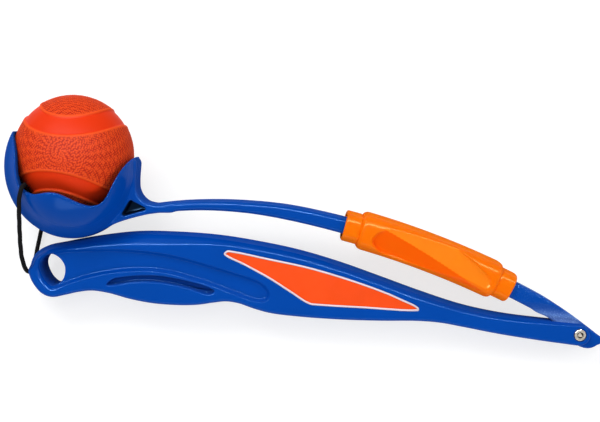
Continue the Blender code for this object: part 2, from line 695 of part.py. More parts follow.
def ramp_cutter(group):
    """The wedge that thins the arm to its tongue, along the grip's upper edge."""
    foot = scaled(GRIP_SHARES[:1], GRIP_REACH)[0]
    along = (foot - Vector((0.0, EAR_RADIUS))).normalized()
    across = Vector((along[1], -along[0]))
    if across[1] < 0:
        across = -across
    base = Vector((0.0, EAR_RADIUS)) + across * TOUCH_GAP
    deep = ARM_HALF_DEPTH + OVERRUN
    rise = RAMP_RISE * (deep - TONGUE_HALF) / (ARM_HALF_DEPTH - TONGUE_HALF)
    far = GRIP_REACH * 0.2
    profile = ((-far, TONGUE_HALF), (0.0, TONGUE_HALF), (rise, deep), (-far, deep))
    rings = []
    for end in (-far, far):
        ring = []
        for w, z in profile:
            p = base + along * end + across * w
            ring.append((p[0], p[1], z))
        rings.append(ring)
    tool = link("cut_ramp", ring_mesh("cut_ramp", rings), group)
    mirrored(tool)
    return tool


def build_arm(parts, cutters, root, blue):
    cx, cy = cup_centre()
    bx, by = by_cup(BALL_SHARE)
    hx, hy = by_cup(CUP_HOLLOW_SHARE)
    arm = ellipsoid("launcher_arm", (cx, cy, 0.0), (CUP_HALF_WIDTH, CUP_DROP, CUP_HALF_DEPTH), parts,
                    CUP_SIDES)
    arm.data.materials.append(blue)
    arm.parent = root
    neck = flat_piece("add_neck", neck_outline(), ARM_HALF_DEPTH, ARM_ROUND * 0.55, cutters)
    bar = arm_bar("add_bar", cutters)
    tongue = flat_piece("add_tongue", scaled(HINGE_OUTLINE_SHARES, GRIP_REACH), ARM_HALF_DEPTH,
                        ARM_ROUND * 0.4, cutters)
    for tool in (neck, bar, tongue):
        boolean(arm, tool, "UNION")
    hollow = ellipsoid("cut_hollow", (hx, hy, 0.0),
                       (CUP_HOLLOW_HALF_WIDTH, CUP_HOLLOW_DROP, CUP_HOLLOW_HALF_DEPTH), cutters, BALL_SIDES)
    reach = BALL_RADIUS + RUN_GAP
    profile = [(0.0, -reach)]
    for k in range(1, 10):
        angle = math.pi / 2 * k / 10
        profile.append((reach * math.sin(angle), -reach * math.cos(angle)))
    profile += [(reach, 0.0), (reach, BALL_EXIT_RUN), (0.0, BALL_EXIT_RUN)]
    exit_way = lathe("cut_ball_way", profile, cutters, None, None, BALL_SIDES)
    exit_way.location = (bx, by, 0.0)
    exit_way.rotation_euler = (math.radians(-90.0), 0.0, -BALL_EXIT_TILT)
    rim = slab("cut_rim", rim_outline(), -CUP_HALF_DEPTH * 1.5, CUP_HALF_DEPTH * 1.5, cutters)
    window = slab("cut_neck_pocket", [by_cup(p) for p in NECK_WINDOW_SHARES], NECK_WEB_HALF,
                  ARM_HALF_DEPTH + OVERRUN, cutters)
    mirrored(window)
    hole = cylinder("cut_tongue_hole", PIVOT_HOLE_RADIUS, -OVERRUN * 4, OVERRUN * 4, cutters)
    for tool in (rim, hollow, exit_way, window, ramp_cutter(cutters), hole):
        boolean(arm, tool, "DIFFERENCE")
    return arm


def rim_outline():
    """The lobed rim as seen from the side, closed high above the cup."""
    curve = smooth_loop([by_cup(p) for p in RIM_SHARES], 2, closed=False)
    high = cup_centre()[1] + BALL_RADIUS * 3
    return curve + [Vector((curve[-1][0], high)), Vector((curve[0][0], high))]


def sleeve_length():
    return front_arc()[2] * SLEEVE_LENGTH_SHARE


def sleeve_height(share):
    """Half height, half depth and face scoop of the sleeve at a share of its length."""
    collar = SLEEVE_COLLAR / sleeve_length()
    inner = min(share, 1 - share) - collar
    swell = min(max(inner / (collar * 0.5), 0.0), 1.0)
    swell = math.sin(swell * math.pi / 2)
    height = SLEEVE_COLLAR_HALF_HEIGHT + (SLEEVE_HALF_HEIGHT - SLEEVE_COLLAR_HALF_HEIGHT) * swell
    depth = SLEEVE_COLLAR_HALF_DEPTH + (SLEEVE_HALF_DEPTH - SLEEVE_COLLAR_HALF_DEPTH) * swell
    return height, depth, swell


def sleeve_scoop(share, v):
    """How far the face is sunk at a share of the length and a height v from -1 to 1. Two planes
    fall away from a diagonal ridge: a long hollow below it, with a round end, and a leaning
    facet above it, which a curved wall ends."""
    def ramp(value):
        return min(max(value, 0.0), 1.0)

    ridge = 0.44 - 1.89 * (share - 0.218)
    if v < ridge:
        reach = 0.69 if v > -0.25 else 0.46
        end = 0.160 + 0.055 * ((v + 0.25) / reach) ** 2
        return SLEEVE_HOLLOW_SHARE * (ridge - v) * ramp((share - end) / 0.03) * ramp((v + 0.90) / 0.15)
    brow = 0.44 + 0.62 * (share - 0.218)
    end = 0.858 - 0.2205 * (v + 0.3) ** 2
    wall = ramp((end + 0.034 - share) / 0.034) * ramp((brow + 0.10 - v) / 0.20)
    return SLEEVE_FACET_SHARE * (v - ridge) * wall


def sleeve_rings(stations, around):
    """Outer rings from one end to the other, then the bore's rings back again."""
    stations = sorted(set(stations))
    outer, inner = [], []
    bore_depth = ARM_HALF_DEPTH + RUN_GAP + TOUCH_GAP * 0.2
    for share in stations:
        centre = front_arc()[0]
        mid = front_arc_point(SLEEVE_START_SHARE + SLEEVE_LENGTH_SHARE * share)
        up = (mid - centre).normalized()
        height, depth, swell = sleeve_height(share)
        ring = []
        for k in range(around):
            a = 2 * math.pi * k / around
            c, s = math.cos(a), math.sin(a)
            power = 0.62
            h = height * math.copysign(abs(c) ** power, c)
            d = depth * math.copysign(abs(s) ** power, s)
            if abs(s) > 0.4:
                d -= math.copysign(SLEEVE_HALF_HEIGHT * sleeve_scoop(share, h / height), d)
            ring.append((mid[0] + up[0] * h, mid[1] + up[1] * h, d))
        outer.append(ring)
        hole = rounded_box(SLEEVE_BORE_HALF_HEIGHT, bore_depth, ARM_ROUND, around // 4 - 1)
        inner.append([(mid[0] + up[0] * h, mid[1] + up[1] * h, d) for h, d in hole])
    return outer, inner


def build_sleeve(parts, root, orange):
    collar = SLEEVE_COLLAR / sleeve_length()
    stations = [0.0, collar * 0.12, collar * 0.88, collar, 1 - collar, 1 - collar * 0.88, 1 - collar * 0.12, 1.0]
    for k in range(1, 4):
        stations += [collar * (1 + 0.17 * k), 1 - collar * (1 + 0.17 * k)]
    for k in range(1, 13):
        stations.append(0.148 + 0.75 * k / 13)
    stations = sorted(set(round(s, 5) for s in stations))
    outer, inner = sleeve_rings(stations, ROUND_SIDES)
    for ring, share in ((0, 0.94), (-1, 0.94)):
        mid = Vector((0.0, 0.0, 0.0))
        for p in outer[ring]:
            mid += Vector(p) / len(outer[ring])
        outer[ring] = [tuple(mid + (Vector(p) - mid) * share) for p in outer[ring]]
    picks = [0, len(inner) // 4, len(inner) // 2, 3 * len(inner) // 4, len(inner) - 1]
    rings = outer + [inner[k] for k in reversed(picks)]
    mesh = tube_mesh("lock_sleeve", rings)
    return link("lock_sleeve", mesh, parts, orange, root)


def lathe(name, profile, group, mat, parent, sides=ROUND_SIDES):
    """A turned piece about the pivot axis: profile points are (radius, height)."""
    bm = bmesh.new()
    rows = []
    for k in range(sides):
        a = 2 * math.pi * k / sides
        rows.append([bm.verts.new((r * math.cos(a), r * math.sin(a), z)) for r, z in profile])
    for k in range(sides):
        low, high = rows[k], rows[(k + 1) % sides]
        for i in range(len(profile) - 1):
            if profile[i][0] == 0 and profile[i + 1][0] == 0:
                continue
            corners = [low[i], high[i], high[i + 1], low[i + 1]]
            if profile[i][0] == 0:
                corners = [low[i], high[i + 1], low[i + 1]]
            if profile[i + 1][0] == 0:
                corners = [low[i], high[i], low[i + 1]]
            bm.faces.new(corners)
    return link(name, finish_mesh(name, bm), group, mat, parent)


def build_pivot(parts, cutters, root, steel):
    face = GRIP_HALF_DEPTH_AT_HINGE
    seat = face - HEAD_POCKET_DEPTH + TOUCH_GAP
    top = seat + SCREW_HEAD_DEPTH
    shank_end = -face + HEAD_POCKET_DEPTH + TOUCH_GAP * 2
    round_off = SCREW_HEAD_DEPTH * 0.25
    screw = lathe("pivot_screw", (
        (0.0, top), (SCREW_HEAD_RADIUS - round_off, top), (SCREW_HEAD_RADIUS, top - round_off),
        (SCREW_HEAD_RADIUS, seat), (SCREW_SHANK_RADIUS, seat), (SCREW_SHANK_RADIUS, shank_end),
        (0.0, shank_end)), parts, steel, root)
    socket = cylinder("cut_screw_socket", SOCKET_RADIUS, top - SOCKET_DEPTH, top + OVERRUN, cutters,
                      (0.0, 0.0), 6)
    boolean(screw, socket, "DIFFERENCE")
    bore = SCREW_SHANK_RADIUS + TOUCH_GAP
    end = seat - TOUCH_GAP * 2
    lathe("pivot_barrel", (
        (0.0, -top), (SCREW_HEAD_RADIUS - round_off, -top), (SCREW_HEAD_RADIUS, -top + round_off),
        (SCREW_HEAD_RADIUS, -seat), (BARREL_RADIUS, -seat), (BARREL_RADIUS, end), (bore, end),
        (bore, shank_end - TOUCH_GAP), (0.0, shank_end - TOUCH_GAP)), parts, steel, root)


def band_point(t):
    """The line of a tennis ball's seam on a unit ball, turned as the shown ball lies."""
    ratio = 0.375
    a = 1 / (1 + ratio)
    b = ratio * a
    point = Vector((a * math.cos(t) + b * math.cos(3 * t), a * math.sin(t) - b * math.sin(3 * t),
                    2 * math.sqrt(a * b) * math.sin(2 * t)))
    point.rotate(Matrix.Rotation(math.radians(39.0), 3, "Z"))
    point.rotate(Matrix.Rotation(math.radians(-7.0), 3, "Y"))
    point.rotate(Matrix.Rotation(math.radians(-2.0), 3, "X"))
    return point


def build_ball(parts, cutters, root, mat):
    bx, by = by_cup(BALL_SHARE)
    ball = ellipsoid("ball", (0.0, 0.0, 0.0), [BALL_RADIUS] * 3, parts, BALL_SIDES)
    ball.data.materials.append(mat)
    ball.parent = root
    ball.location = (bx, by, 0.0)
    count = 48
    rings = []
    for k in range(count):
        t = 2 * math.pi * k / count
        p = band_point(t)
        along = (band_point(t + 0.01) - band_point(t - 0.01)).normalized()
        side = p.cross(along).normalized() * BALL_BAND_WIDTH / 2
        low, high = BALL_RADIUS - BALL_BAND_DEPTH, BALL_RADIUS + OVERRUN
        ring = []
        for sign, reach in ((-1, low), (0, low), (1, low), (1, high), (-1, high)):
            spot = p * BALL_RADIUS + side * sign
            ring.append(tuple(spot.normalized() * reach))
        rings.append(ring)
    band = link("cut_ball_band", tube_mesh("cut_ball_band", rings), cutters)
    band.parent = root
    band.location = (bx, by, 0.0)
    boolean(ball, band, "DIFFERENCE")


def build_loop(parts, root, black):
    """The elastic loop: from inside the cup, over the rim's front notch, round the grip's end
    and back over the rear notch. Its ends meet in a crimped ferrule under the ball."""
    route = smooth_loop(loop_points(), 2, closed=False)
    curve = bpy.data.curves.new("hold_loop", "CURVE")
    curve.dimensions = "3D"
    spline = curve.splines.new("POLY")
    spline.points.add(len(route) - 1)
    for item, p in zip(spline.points, route):
        item.co = (p[0], p[1], p[2], 1.0)
    curve.bevel_depth = LOOP_RADIUS
    curve.bevel_resolution = 2
    curve.use_fill_caps = True
    loop = bpy.data.objects.new("hold_loop", curve)
    parts.objects.link(loop)
    curve.materials.append(black)
    loop.parent = root
    start = route[0]
    bm = bmesh.new()
    wall = (LOOP_RADIUS + TOUCH_GAP, FERRULE_RADIUS)
    rows = []
    half = FERRULE_LENGTH / 2
    for r, z in ((wall[0], -half), (wall[1] * 0.86, -half), (wall[1], -half * 0.8), (wall[1], half * 0.8),
                 (wall[1] * 0.86, half), (wall[0], half)):
        rows.append([bm.verts.new((r * math.cos(math.radians(15.0 * k)),
                                   r * math.sin(math.radians(15.0 * k)), z)) for k in range(24)])
    for k, low in enumerate(rows):
        high = rows[(k + 1) % len(rows)]
        for i in range(24):
            j = (i + 1) % 24
            bm.faces.new((low[i], low[j], high[j], high[i]))
    ferrule = link("loop_ferrule", finish_mesh("loop_ferrule", bm), parts, black, root)
    ferrule.location = (start[0], start[1], 0.0)


def lay_down(root):
    """Turn the part to the way it lies: on the cup and on two places of the grip's edge."""
    loop = grip_outline()
    under = [Vector((p[0] + n[0] * LOWER_ROUND * 0.4, p[1] + n[1] * LOWER_ROUND * 0.4,
                     -grip_half_depth(p[0]) + LOWER_ROUND * 0.3)) for p, n in zip(loop, inward(loop))]
    centre = cup_centre().to_3d()
    halves = Vector((CUP_HALF_WIDTH, CUP_DROP, CUP_HALF_DEPTH))

    def down(roll, pitch):
        return Vector((math.sin(pitch), -math.sin(roll) * math.cos(pitch),
                       -math.cos(roll) * math.cos(pitch)))

    def cup_reach(n):
        return centre.dot(n) + math.sqrt(sum((halves[i] * n[i]) ** 2 for i in range(3)))

    def grip_reach(n, part):
        middle = -GRIP_REACH * 0.5
        return max(p.dot(n) for p in under if (p[0] < middle) == (part == "end"))

    def roll_for(pitch):
        low, high = 0.0, math.radians(60.0)
        for _ in range(40):
            mid = (low + high) / 2
            n = down(mid, pitch)
            if cup_reach(n) > grip_reach(n, "end"):
                low = mid
            else:
                high = mid
        return low

    left, right = math.radians(-12.0), math.radians(12.0)
    for _ in range(40):
        pitch = (left + right) / 2
        n = down(roll_for(pitch), pitch)
        if grip_reach(n, "hinge") > grip_reach(n, "end"):
            right = pitch
        else:
            left = pitch
    pitch = (left + right) / 2
    n = down(roll_for(pitch), pitch)
    z_axis = -n
    x_axis = (Vector((1.0, 0.0, 0.0)) - z_axis * z_axis[0]).normalized()
    y_axis = z_axis.cross(x_axis)
    root.matrix_world = Matrix((x_axis, y_axis, z_axis)).to_4x4()
    bpy.context.view_layer.update()


def centre_on_floor(root, parts):
    """Shift the whole part so that the middle of its footprint is the origin, on the floor."""
    graph = bpy.context.evaluated_depsgraph_get()
    low, high = Vector([math.inf] * 3), Vector([-math.inf] * 3)
    for obj in parts.objects:
        if obj.type not in {"MESH", "CURVE"} or obj.name == "hold_loop":
            continue
        seen = obj.evaluated_get(graph)
        mesh = seen.to_mesh()
        for vert in mesh.vertices:
            spot = seen.matrix_world @ vert.co
            for axis in range(3):
                low[axis] = min(low[axis], spot[axis])
                high[axis] = max(high[axis], spot[axis])
        seen.to_mesh_clear()
    shift = Vector(((low[0] + high[0]) / 2, (low[1] + high[1]) / 2, low[2]))
    root.matrix_world = Matrix.Translation(-shift) @ root.matrix_world
    bpy.context.view_layer.update()


def main():
    clear_scene()
    parts = new_collection("folding_ball_thrower")
    cutters = new_collection("cutters")
    root = bpy.data.objects.new("thrower_frame", None)
    parts.objects.link(root)
    blue = material("blue_plastic", BLUE, 0.32)
    orange = material("orange_plastic", ORANGE, 0.25)
    plate = material("badge_orange", PLATE_ORANGE, 0.45)
    silver = material("badge_silver", SILVER, 0.30, 0.6)
    steel = material("screw_steel", STEEL, 0.28, 1.0)
    black = material("loop_black", BLACK, 0.80)
    rubber = material("ball_rubber", BALL_ORANGE, 0.55)
    build_grip(parts, cutters, root, blue, plate, silver)
    build_arm(parts, cutters, root, blue)
    build_sleeve(parts, root, orange)
    build_pivot(parts, cutters, root, steel)
    build_ball(parts, cutters, root, rubber)
    build_loop(parts, root, black)
    for tool in cutters.objects:
        if tool.parent is None:
            tool.parent = root
        tool.hide_render = True
        tool.display_type = "WIRE"
    bpy.context.view_layer.update()
    lay_down(root)
    centre_on_floor(root, parts)
    pivot = root.matrix_world @ Vector((0.0, 0.0, 0.0))
    axis = root.matrix_world.to_3x3() @ Vector((0.0, 0.0, 1.0))
    arc = front_arc()[0]
    centre = root.matrix_world @ Vector((arc[0], arc[1], 0.0))
    print("pivot", [round(v, 6) for v in pivot], "axis", [round(v, 6) for v in axis])
    print("sleeve arc centre", [round(v, 6) for v in centre])
    print("frame", [[round(v, 6) for v in row] for row in root.matrix_world])


main()
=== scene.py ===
"""Looks of the folding dog ball thrower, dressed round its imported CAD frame.

The pieces are drawn in the plane of the fold, with the hinge at the origin, +X towards the
hinge end, +Y towards the ball and +Z out of the shown side. One matrix, worked out from the fold
joint, then lays each piece where its CAD node lies. All sizes are in metres."""

import math

import bmesh
import bpy
from mathutils import Matrix, Vector, kdtree
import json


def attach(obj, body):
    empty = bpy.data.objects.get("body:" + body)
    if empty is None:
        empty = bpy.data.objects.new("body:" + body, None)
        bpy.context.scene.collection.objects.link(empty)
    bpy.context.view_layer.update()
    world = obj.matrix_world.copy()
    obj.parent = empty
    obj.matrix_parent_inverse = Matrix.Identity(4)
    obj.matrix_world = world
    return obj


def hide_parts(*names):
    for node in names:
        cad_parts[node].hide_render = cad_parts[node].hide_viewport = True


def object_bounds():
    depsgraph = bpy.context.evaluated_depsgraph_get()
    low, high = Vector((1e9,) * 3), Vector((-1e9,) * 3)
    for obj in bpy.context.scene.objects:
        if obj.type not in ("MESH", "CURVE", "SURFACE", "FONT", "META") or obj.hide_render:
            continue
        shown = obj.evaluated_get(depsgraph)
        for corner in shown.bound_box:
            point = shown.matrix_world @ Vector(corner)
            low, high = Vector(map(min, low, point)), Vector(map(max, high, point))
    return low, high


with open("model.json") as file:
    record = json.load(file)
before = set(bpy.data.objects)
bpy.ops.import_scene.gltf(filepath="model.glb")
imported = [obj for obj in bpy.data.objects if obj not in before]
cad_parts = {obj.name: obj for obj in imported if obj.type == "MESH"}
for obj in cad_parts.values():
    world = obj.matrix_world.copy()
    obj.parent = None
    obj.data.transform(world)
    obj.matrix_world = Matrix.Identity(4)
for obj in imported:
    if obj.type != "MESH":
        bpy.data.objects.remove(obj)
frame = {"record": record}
cad_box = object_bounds()

# Clearances
TOUCH_GAP = 0.0003
HALF_SEAM = 0.00015
RUN_GAP = 0.00035
OVERRUN = 0.004
MERGE_GAP = OVERRUN * 0.0002

# Grip, measured from the pivot
GRIP_REACH = 0.300
FAR = GRIP_REACH * 0.2
GRIP_HALF_DEPTH_AT_HINGE = 0.0090
GRIP_HALF_DEPTH_AT_END = 0.0118
EAR_RADIUS = 0.0059
EAR_ARC_START = -98.0
EAR_ARC_STEP = 23.5
EAR_ARC_POINTS = 9
SHOULDER = 0.0046
SHOULDER_AT_HINGE = 0.0016
LOWER_ROUND = 0.0020
GRIP_LEVELS = 20
GRIP_CREASE = math.radians(24.0)

# The grip's upper shoulder. The first four are shares of its width and of the way in, the
# swell's place and reach are shares of the grip's reach.
SLOPE_WIDTH = 0.70
BROW_WIDTH = 0.30
SLOPE_RUN = 0.55
BROW_RUN = 0.45
SLOPE_TURN = math.radians(62.0)
BROW_TURN = math.radians(45.0)
SWELL = 0.55
SWELL_PLACE = 0.775
SWELL_REACH = 0.10
SHOULDER_GROWTH = 0.3
UPPER_CONTRAST = 1.6
WALL_RUN = 0.4
EDGE_RUN = 0.6

# Recesses in the grip
PANEL_DEPTH = 0.0024
PANEL_DRAFT = 0.0010
GROOVE_DEPTH = 0.0042
EYE_BRIM = 0.0030
EYE_FLARE = 0.83
EYE_SWEEP = math.radians(80.0)
BRIM_SWEEP = math.radians(87.0)
BADGE_DEPTH = 0.0018
BADGE_BORDER = 0.0011
BADGE_PROUD = 0.0002
BADGE_SLICES = 70
BADGE_SLICE = 0.008

# Hinge
TONGUE_HALF = 0.0046
BARREL_RADIUS = 0.0023
PIVOT_HOLE_RADIUS = 0.0026
SCREW_SHANK_RADIUS = 0.0015
SCREW_HEAD_RADIUS = 0.00315
SCREW_HEAD_DEPTH = 0.0012
HEAD_POCKET_RADIUS = 0.0036
HEAD_POCKET_DEPTH = 0.0017
SOCKET_RADIUS = 0.0019
SOCKET_DEPTH = 0.0008
OPEN_ANGLE = math.radians(149.0)
RAMP_RISE = 0.0090

# Throwing arm
ARM_HALF_DEPTH = 0.0094
ARM_THICK = 0.0090
ARM_ROUND = 0.0022
ARM_FRONT_RADIUS = 0.480
ARM_FRONT_RUN = 0.150
ARM_FRONT_TILT = math.radians(-12.3)
ARM_BACK_RADIUS = 0.250
ARM_NECK_RADIUS = 0.200
ARM_NECK_RUN = 0.034
BAR_REACH = 0.91

# The arm's centreline: how many stations each part has, and its share of the thinning
NECK_STATIONS = 12
CREST_STATIONS = 18
BAR_STATIONS = 48
NECK_PART = 0.25
CREST_PART = 0.6
BAR_PART = NECK_PART + CREST_PART

# Cup and ball
BALL_RADIUS = 0.0322
BALL_BAND_WIDTH = 0.0105
BALL_BAND_DEPTH = 0.0007
CUP_HALF_WIDTH = 0.0359
CUP_HALF_DEPTH = 0.0365
CUP_HOLLOW_HALF_WIDTH = 0.0328
CUP_HOLLOW_HALF_DEPTH = 0.0333
CUP_HOLLOW_DROP = 0.0348
NECK_WEB_HALF = 0.0009
BALL_EXIT_TILT = math.radians(12.6)
BALL_EXIT_RUN = 0.050
BALL_WAY_STEPS = 24

# Lock sleeve
SLEEVE_LENGTH = 0.0968
SLEEVE_COLLAR = 0.0088
SLEEVE_COLLAR_HALF_HEIGHT = 0.0083
SLEEVE_COLLAR_HALF_DEPTH = 0.0120
SLEEVE_HALF_HEIGHT = 0.0104
SLEEVE_HALF_DEPTH = 0.0134
SLEEVE_BORE_HALF_HEIGHT = 0.0061
SLEEVE_HOLLOW_SLOPE = 0.25
SLEEVE_FACET_SLOPE = 0.15
SLEEVE_START = 0.0225
COLLAR = SLEEVE_COLLAR / SLEEVE_LENGTH
COLLAR_RISE = 0.38
COLLAR_LIP = 0.14
SLEEVE_SQUARENESS = 0.62
SLEEVE_SIDES = 176
SLEEVE_STEPS = 240

# The sleeve's scooped faces: along it in shares of its length, across it from -1 to 1
RIDGE_HEIGHT = 0.44
RIDGE_FALL = 1.89
RIDGE_PLACE = 0.218
RIDGE_CREST = 0.968
HOLLOW_END = 0.160
HOLLOW_BULGE = 0.055
HOLLOW_MIDDLE = -0.25
HOLLOW_REACH_UP = 0.69
HOLLOW_REACH_DOWN = 0.46
HOLLOW_WALL = 0.018
HOLLOW_FOOT = -0.83
HOLLOW_FOOT_RUN = 0.12
HOLLOW_FLOOR = 0.76
FACET_START = 0.19
FACET_START_RUN = 0.03
FACET_END = 0.858
FACET_BULGE = 0.2205
FACET_MIDDLE = -0.3
FACET_WALL = 0.028
FACET_EDGE = 0.0002

# Elastic loop
LOOP_RADIUS = 0.0012
FERRULE_RADIUS = 0.0019
FERRULE_LENGTH = 0.0070
FERRULE_SHARES = ((1.0, 0.86), (1.0, 0.30), (0.93, 0.15))
LOOP_SIDES = 24
BRAID_STRANDS = 6
BRAID_PITCH = LOOP_RADIUS * 7

# How finely the scene's surfaces are divided
CREASE = math.radians(32.0)
CURVE_STEPS = 6
ARM_VOXEL = 0.00066
BALL_CUTS = 126
BALL_PEBBLES = 10500
PEBBLE_HEIGHT = 0.00022
PEBBLE_SHAKE = 0.00026
PEBBLE_SPREAD = 0.56
SHAKE_TURNS = (12.9898, 78.233, 37.719)
BAND_POINTS = 2400
BAND_WAVE = 0.375
BAND_EDGE = 0.07
BAND_TURNS = (("Z", 39.0), ("Y", -7.0), ("X", -2.0))

# Outlines, as shares of the grip's reach
GRIP_SHARES = (
    (-0.063, 0.0262), (-0.137, 0.0335), (-0.210, 0.0463), (-0.283, 0.0710),
    (-0.360, 0.0985), (-0.433, 0.1262), (-0.507, 0.1492), (-0.580, 0.1645),
    (-0.653, 0.1755), (-0.727, 0.1815), (-0.800, 0.1830), (-0.873, 0.1775),
    (-0.930, 0.1680), (-0.965, 0.1603), (-0.986, 0.1470), (-0.9945, 0.1270),
    (-0.991, 0.1080), (-0.981, 0.0890), (-0.9685, 0.0762), (-0.952, 0.0705),
    (-0.930, 0.0740), (-0.905, 0.0795), (-0.880, 0.0820), (-0.850, 0.0775),
    (-0.812, 0.0668), (-0.770, 0.0587), (-0.723, 0.0553), (-0.690, 0.0560),
    (-0.663, 0.0597), (-0.640, 0.0620), (-0.617, 0.0585), (-0.590, 0.0490),
    (-0.560, 0.0407), (-0.507, 0.0340), (-0.433, 0.0287), (-0.360, 0.0263),
    (-0.293, 0.0258), (-0.253, 0.0225), (-0.210, 0.0145), (-0.147, 0.0020),
    (-0.073, -0.0100), (-0.030, -0.0160),
)
# How far the photographed top edge stands above the outline's first points
TOP_LIFT_SHARES = (0.0, 0.0025, 0.0056, 0.0047, 0.0055, 0.0040, 0.0031, 0.0035, 0.0042, 0.0040,
                   0.0036, 0.0009)
PANEL_SHARES = (
    (-0.9755, 0.125), (-0.9715, 0.111), (-0.9635, 0.097), (-0.952, 0.0865),
    (-0.918, 0.0968), (-0.881, 0.1078), (-0.833, 0.1165), (-0.785, 0.1187),
    (-0.738, 0.1133), (-0.665, 0.0917), (-0.620, 0.0750), (-0.582, 0.0620),
    (-0.566, 0.0650), (-0.562, 0.0767), (-0.568, 0.0883), (-0.580, 0.0980),
    (-0.620, 0.1123), (-0.665, 0.1263), (-0.739, 0.1463), (-0.810, 0.1553),
    (-0.881, 0.1567), (-0.935, 0.1540), (-0.960, 0.1467), (-0.972, 0.1370),
)
GROOVE_SHARES = (
    (-0.853, 0.0935), (-0.843, 0.1030), (-0.812, 0.1085), (-0.762, 0.1095),
    (-0.714, 0.1010), (-0.672, 0.0890), (-0.660, 0.0815), (-0.668, 0.0755),
    (-0.714, 0.0885), (-0.762, 0.0975), (-0.805, 0.0980), (-0.840, 0.0925),
)
EYE_SHARES = (
    (-0.9735, 0.1260), (-0.9700, 0.1120), (-0.9620, 0.0985), (-0.9510, 0.0905),
    (-0.9400, 0.0945), (-0.9315, 0.1040), (-0.9280, 0.1180), (-0.9300, 0.1300),
    (-0.9390, 0.1420), (-0.9510, 0.1480), (-0.9630, 0.1450), (-0.9705, 0.1370),
)
BADGE_SHARES = (
    (-0.6430, 0.1480), (-0.6370, 0.1550), (-0.6250, 0.1543), (-0.5600, 0.1405),
    (-0.4940, 0.1262), (-0.4250, 0.1060), (-0.3560, 0.0815), (-0.3250, 0.0680),
    (-0.2930, 0.0515), (-0.2920, 0.0460), (-0.3020, 0.0442), (-0.3900, 0.0495),
    (-0.4740, 0.0548), (-0.4900, 0.0570), (-0.5250, 0.0790), (-0.5620, 0.1030),
    (-0.6050, 0.1270),
)
HINGE_OUTLINE_SHARES = (
    (-0.0760, 0.0735), (-0.0670, 0.0700), (-0.044, 0.0563), (-0.006, 0.0303), (0.0317, 0.0017),
    (0.0480, -0.0110), (0.0500, -0.0140), (0.0480, -0.0160), (0.0350, -0.0220),
    (0.0270, -0.0262), (0.0190, -0.0277), (0.0100, -0.0262), (-0.004, -0.0200),
    (-0.0160, -0.0090), (-0.0285, 0.0060), (-0.0540, 0.0290), (-0.0860, 0.0475),
)
RIM_SHARES = (
    (-1.30, 0.3675), (-1.018, 0.3677), (-1.0067, 0.3557), (-0.9977, 0.3303),
    (-0.9957, 0.3067), (-0.9940, 0.2883), (-0.9890, 0.2720), (-0.9813, 0.2640),
    (-0.9653, 0.2590), (-0.9467, 0.2617), (-0.9340, 0.2630), (-0.9203, 0.2607),
    (-0.9020, 0.2520), (-0.8813, 0.2410), (-0.8677, 0.2377), (-0.8513, 0.2433),
    (-0.8407, 0.2577), (-0.8293, 0.2813), (-0.8140, 0.3077), (-0.8033, 0.3203),
    (-0.7950, 0.3235), (-0.70, 0.3235),
)
NECK_SHARES = (
    (-0.730, 0.2395), (-0.752, 0.2370), (-0.768, 0.2372), (-0.782, 0.2407),
    (-0.7920, 0.2490), (-0.7985, 0.2620), (-0.7995, 0.2767), (-0.7985, 0.2950),
    (-0.7985, 0.3150), (-0.8150, 0.3150), (-0.8400, 0.2400), (-0.9300, 0.1850),
    (-0.9100, 0.1790), (-0.8900, 0.1815), (-0.8560, 0.1937), (-0.8330, 0.2040),
    (-0.8000, 0.2140), (-0.7667, 0.2210), (-0.7300, 0.2243),
)
NECK_WINDOW_SHARES = (
    (-0.8080, 0.2452), (-0.8055, 0.2430), (-0.7830, 0.2312), (-0.7800, 0.2290),
    (-0.7830, 0.2270), (-0.8210, 0.2165), (-0.8255, 0.2165), (-0.8260, 0.2200),
    (-0.8130, 0.2420), (-0.8108, 0.2450),
)
ARM_CREST_SHARE = (-0.677, 0.2347)
CUP_CENTRE_SHARE = (-0.9177, 0.3033)
CUP_HOLLOW_SHARE = (-0.9155, 0.3087)
BALL_SHARE = (-0.9148, 0.3263)
NECK_THICK_SHARES = ((0.0, 0.53), (0.25, 0.60), (0.5, 0.70), (0.75, 0.86), (1.0, 0.95))

# Recesses: outline, depth, lean of the wall, round of the brim and fillet of the floor
RECESSES = {
    "cut_panel": (PANEL_SHARES, PANEL_DEPTH, PANEL_DRAFT, 0.0007, 0.0007),
    "cut_groove": (GROOVE_SHARES, GROOVE_DEPTH, 0.0003, 0.0006, 0.0004),
    "cut_badge": (BADGE_SHARES, BADGE_DEPTH, 0.0, 0.00025, 0.0001),
}

# The elastic loop's route, as shares of the grip's reach: from the ferrule down the near side,
# under the eye hole, and back up the far side
LOOP_SIDE_SHARES = (
    (-1.0070, 0.2632, 0.0007), (-1.0070, 0.2632, 0.0135), (-1.0040, 0.2645, 0.0310),
    (-0.9950, 0.2675, 0.0510), (-0.9860, 0.2730, 0.0700), (-0.9825, 0.2745, 0.0880),
    (-0.9845, 0.2680, 0.1000), (-0.9885, 0.2500, 0.0990), (-0.9915, 0.2250, 0.0905),
    (-0.9945, 0.1970, 0.0790),
)
LOOP_SHARES = LOOP_SIDE_SHARES + (
    (-0.9975, 0.1690, 0.0655), (-0.9995, 0.1430, 0.0500), (-0.9985, 0.1200, 0.0300),
    (-0.9975, 0.1120, 0.0000), (-0.9990, 0.1220, -0.0300), (-0.9995, 0.1450, -0.0500),
    (-0.9975, 0.1700, -0.0655),
) + tuple((x, y, -z) for x, y, z in reversed(LOOP_SIDE_SHARES))

# Camera, measured in the plane of the fold
CAMERA_PLACE = (-0.1519, 0.1074, 0.5385)
CAMERA_TILT = -0.07505
CAMERA_LENS = 59.4
SENSOR_WIDTH = 36.0

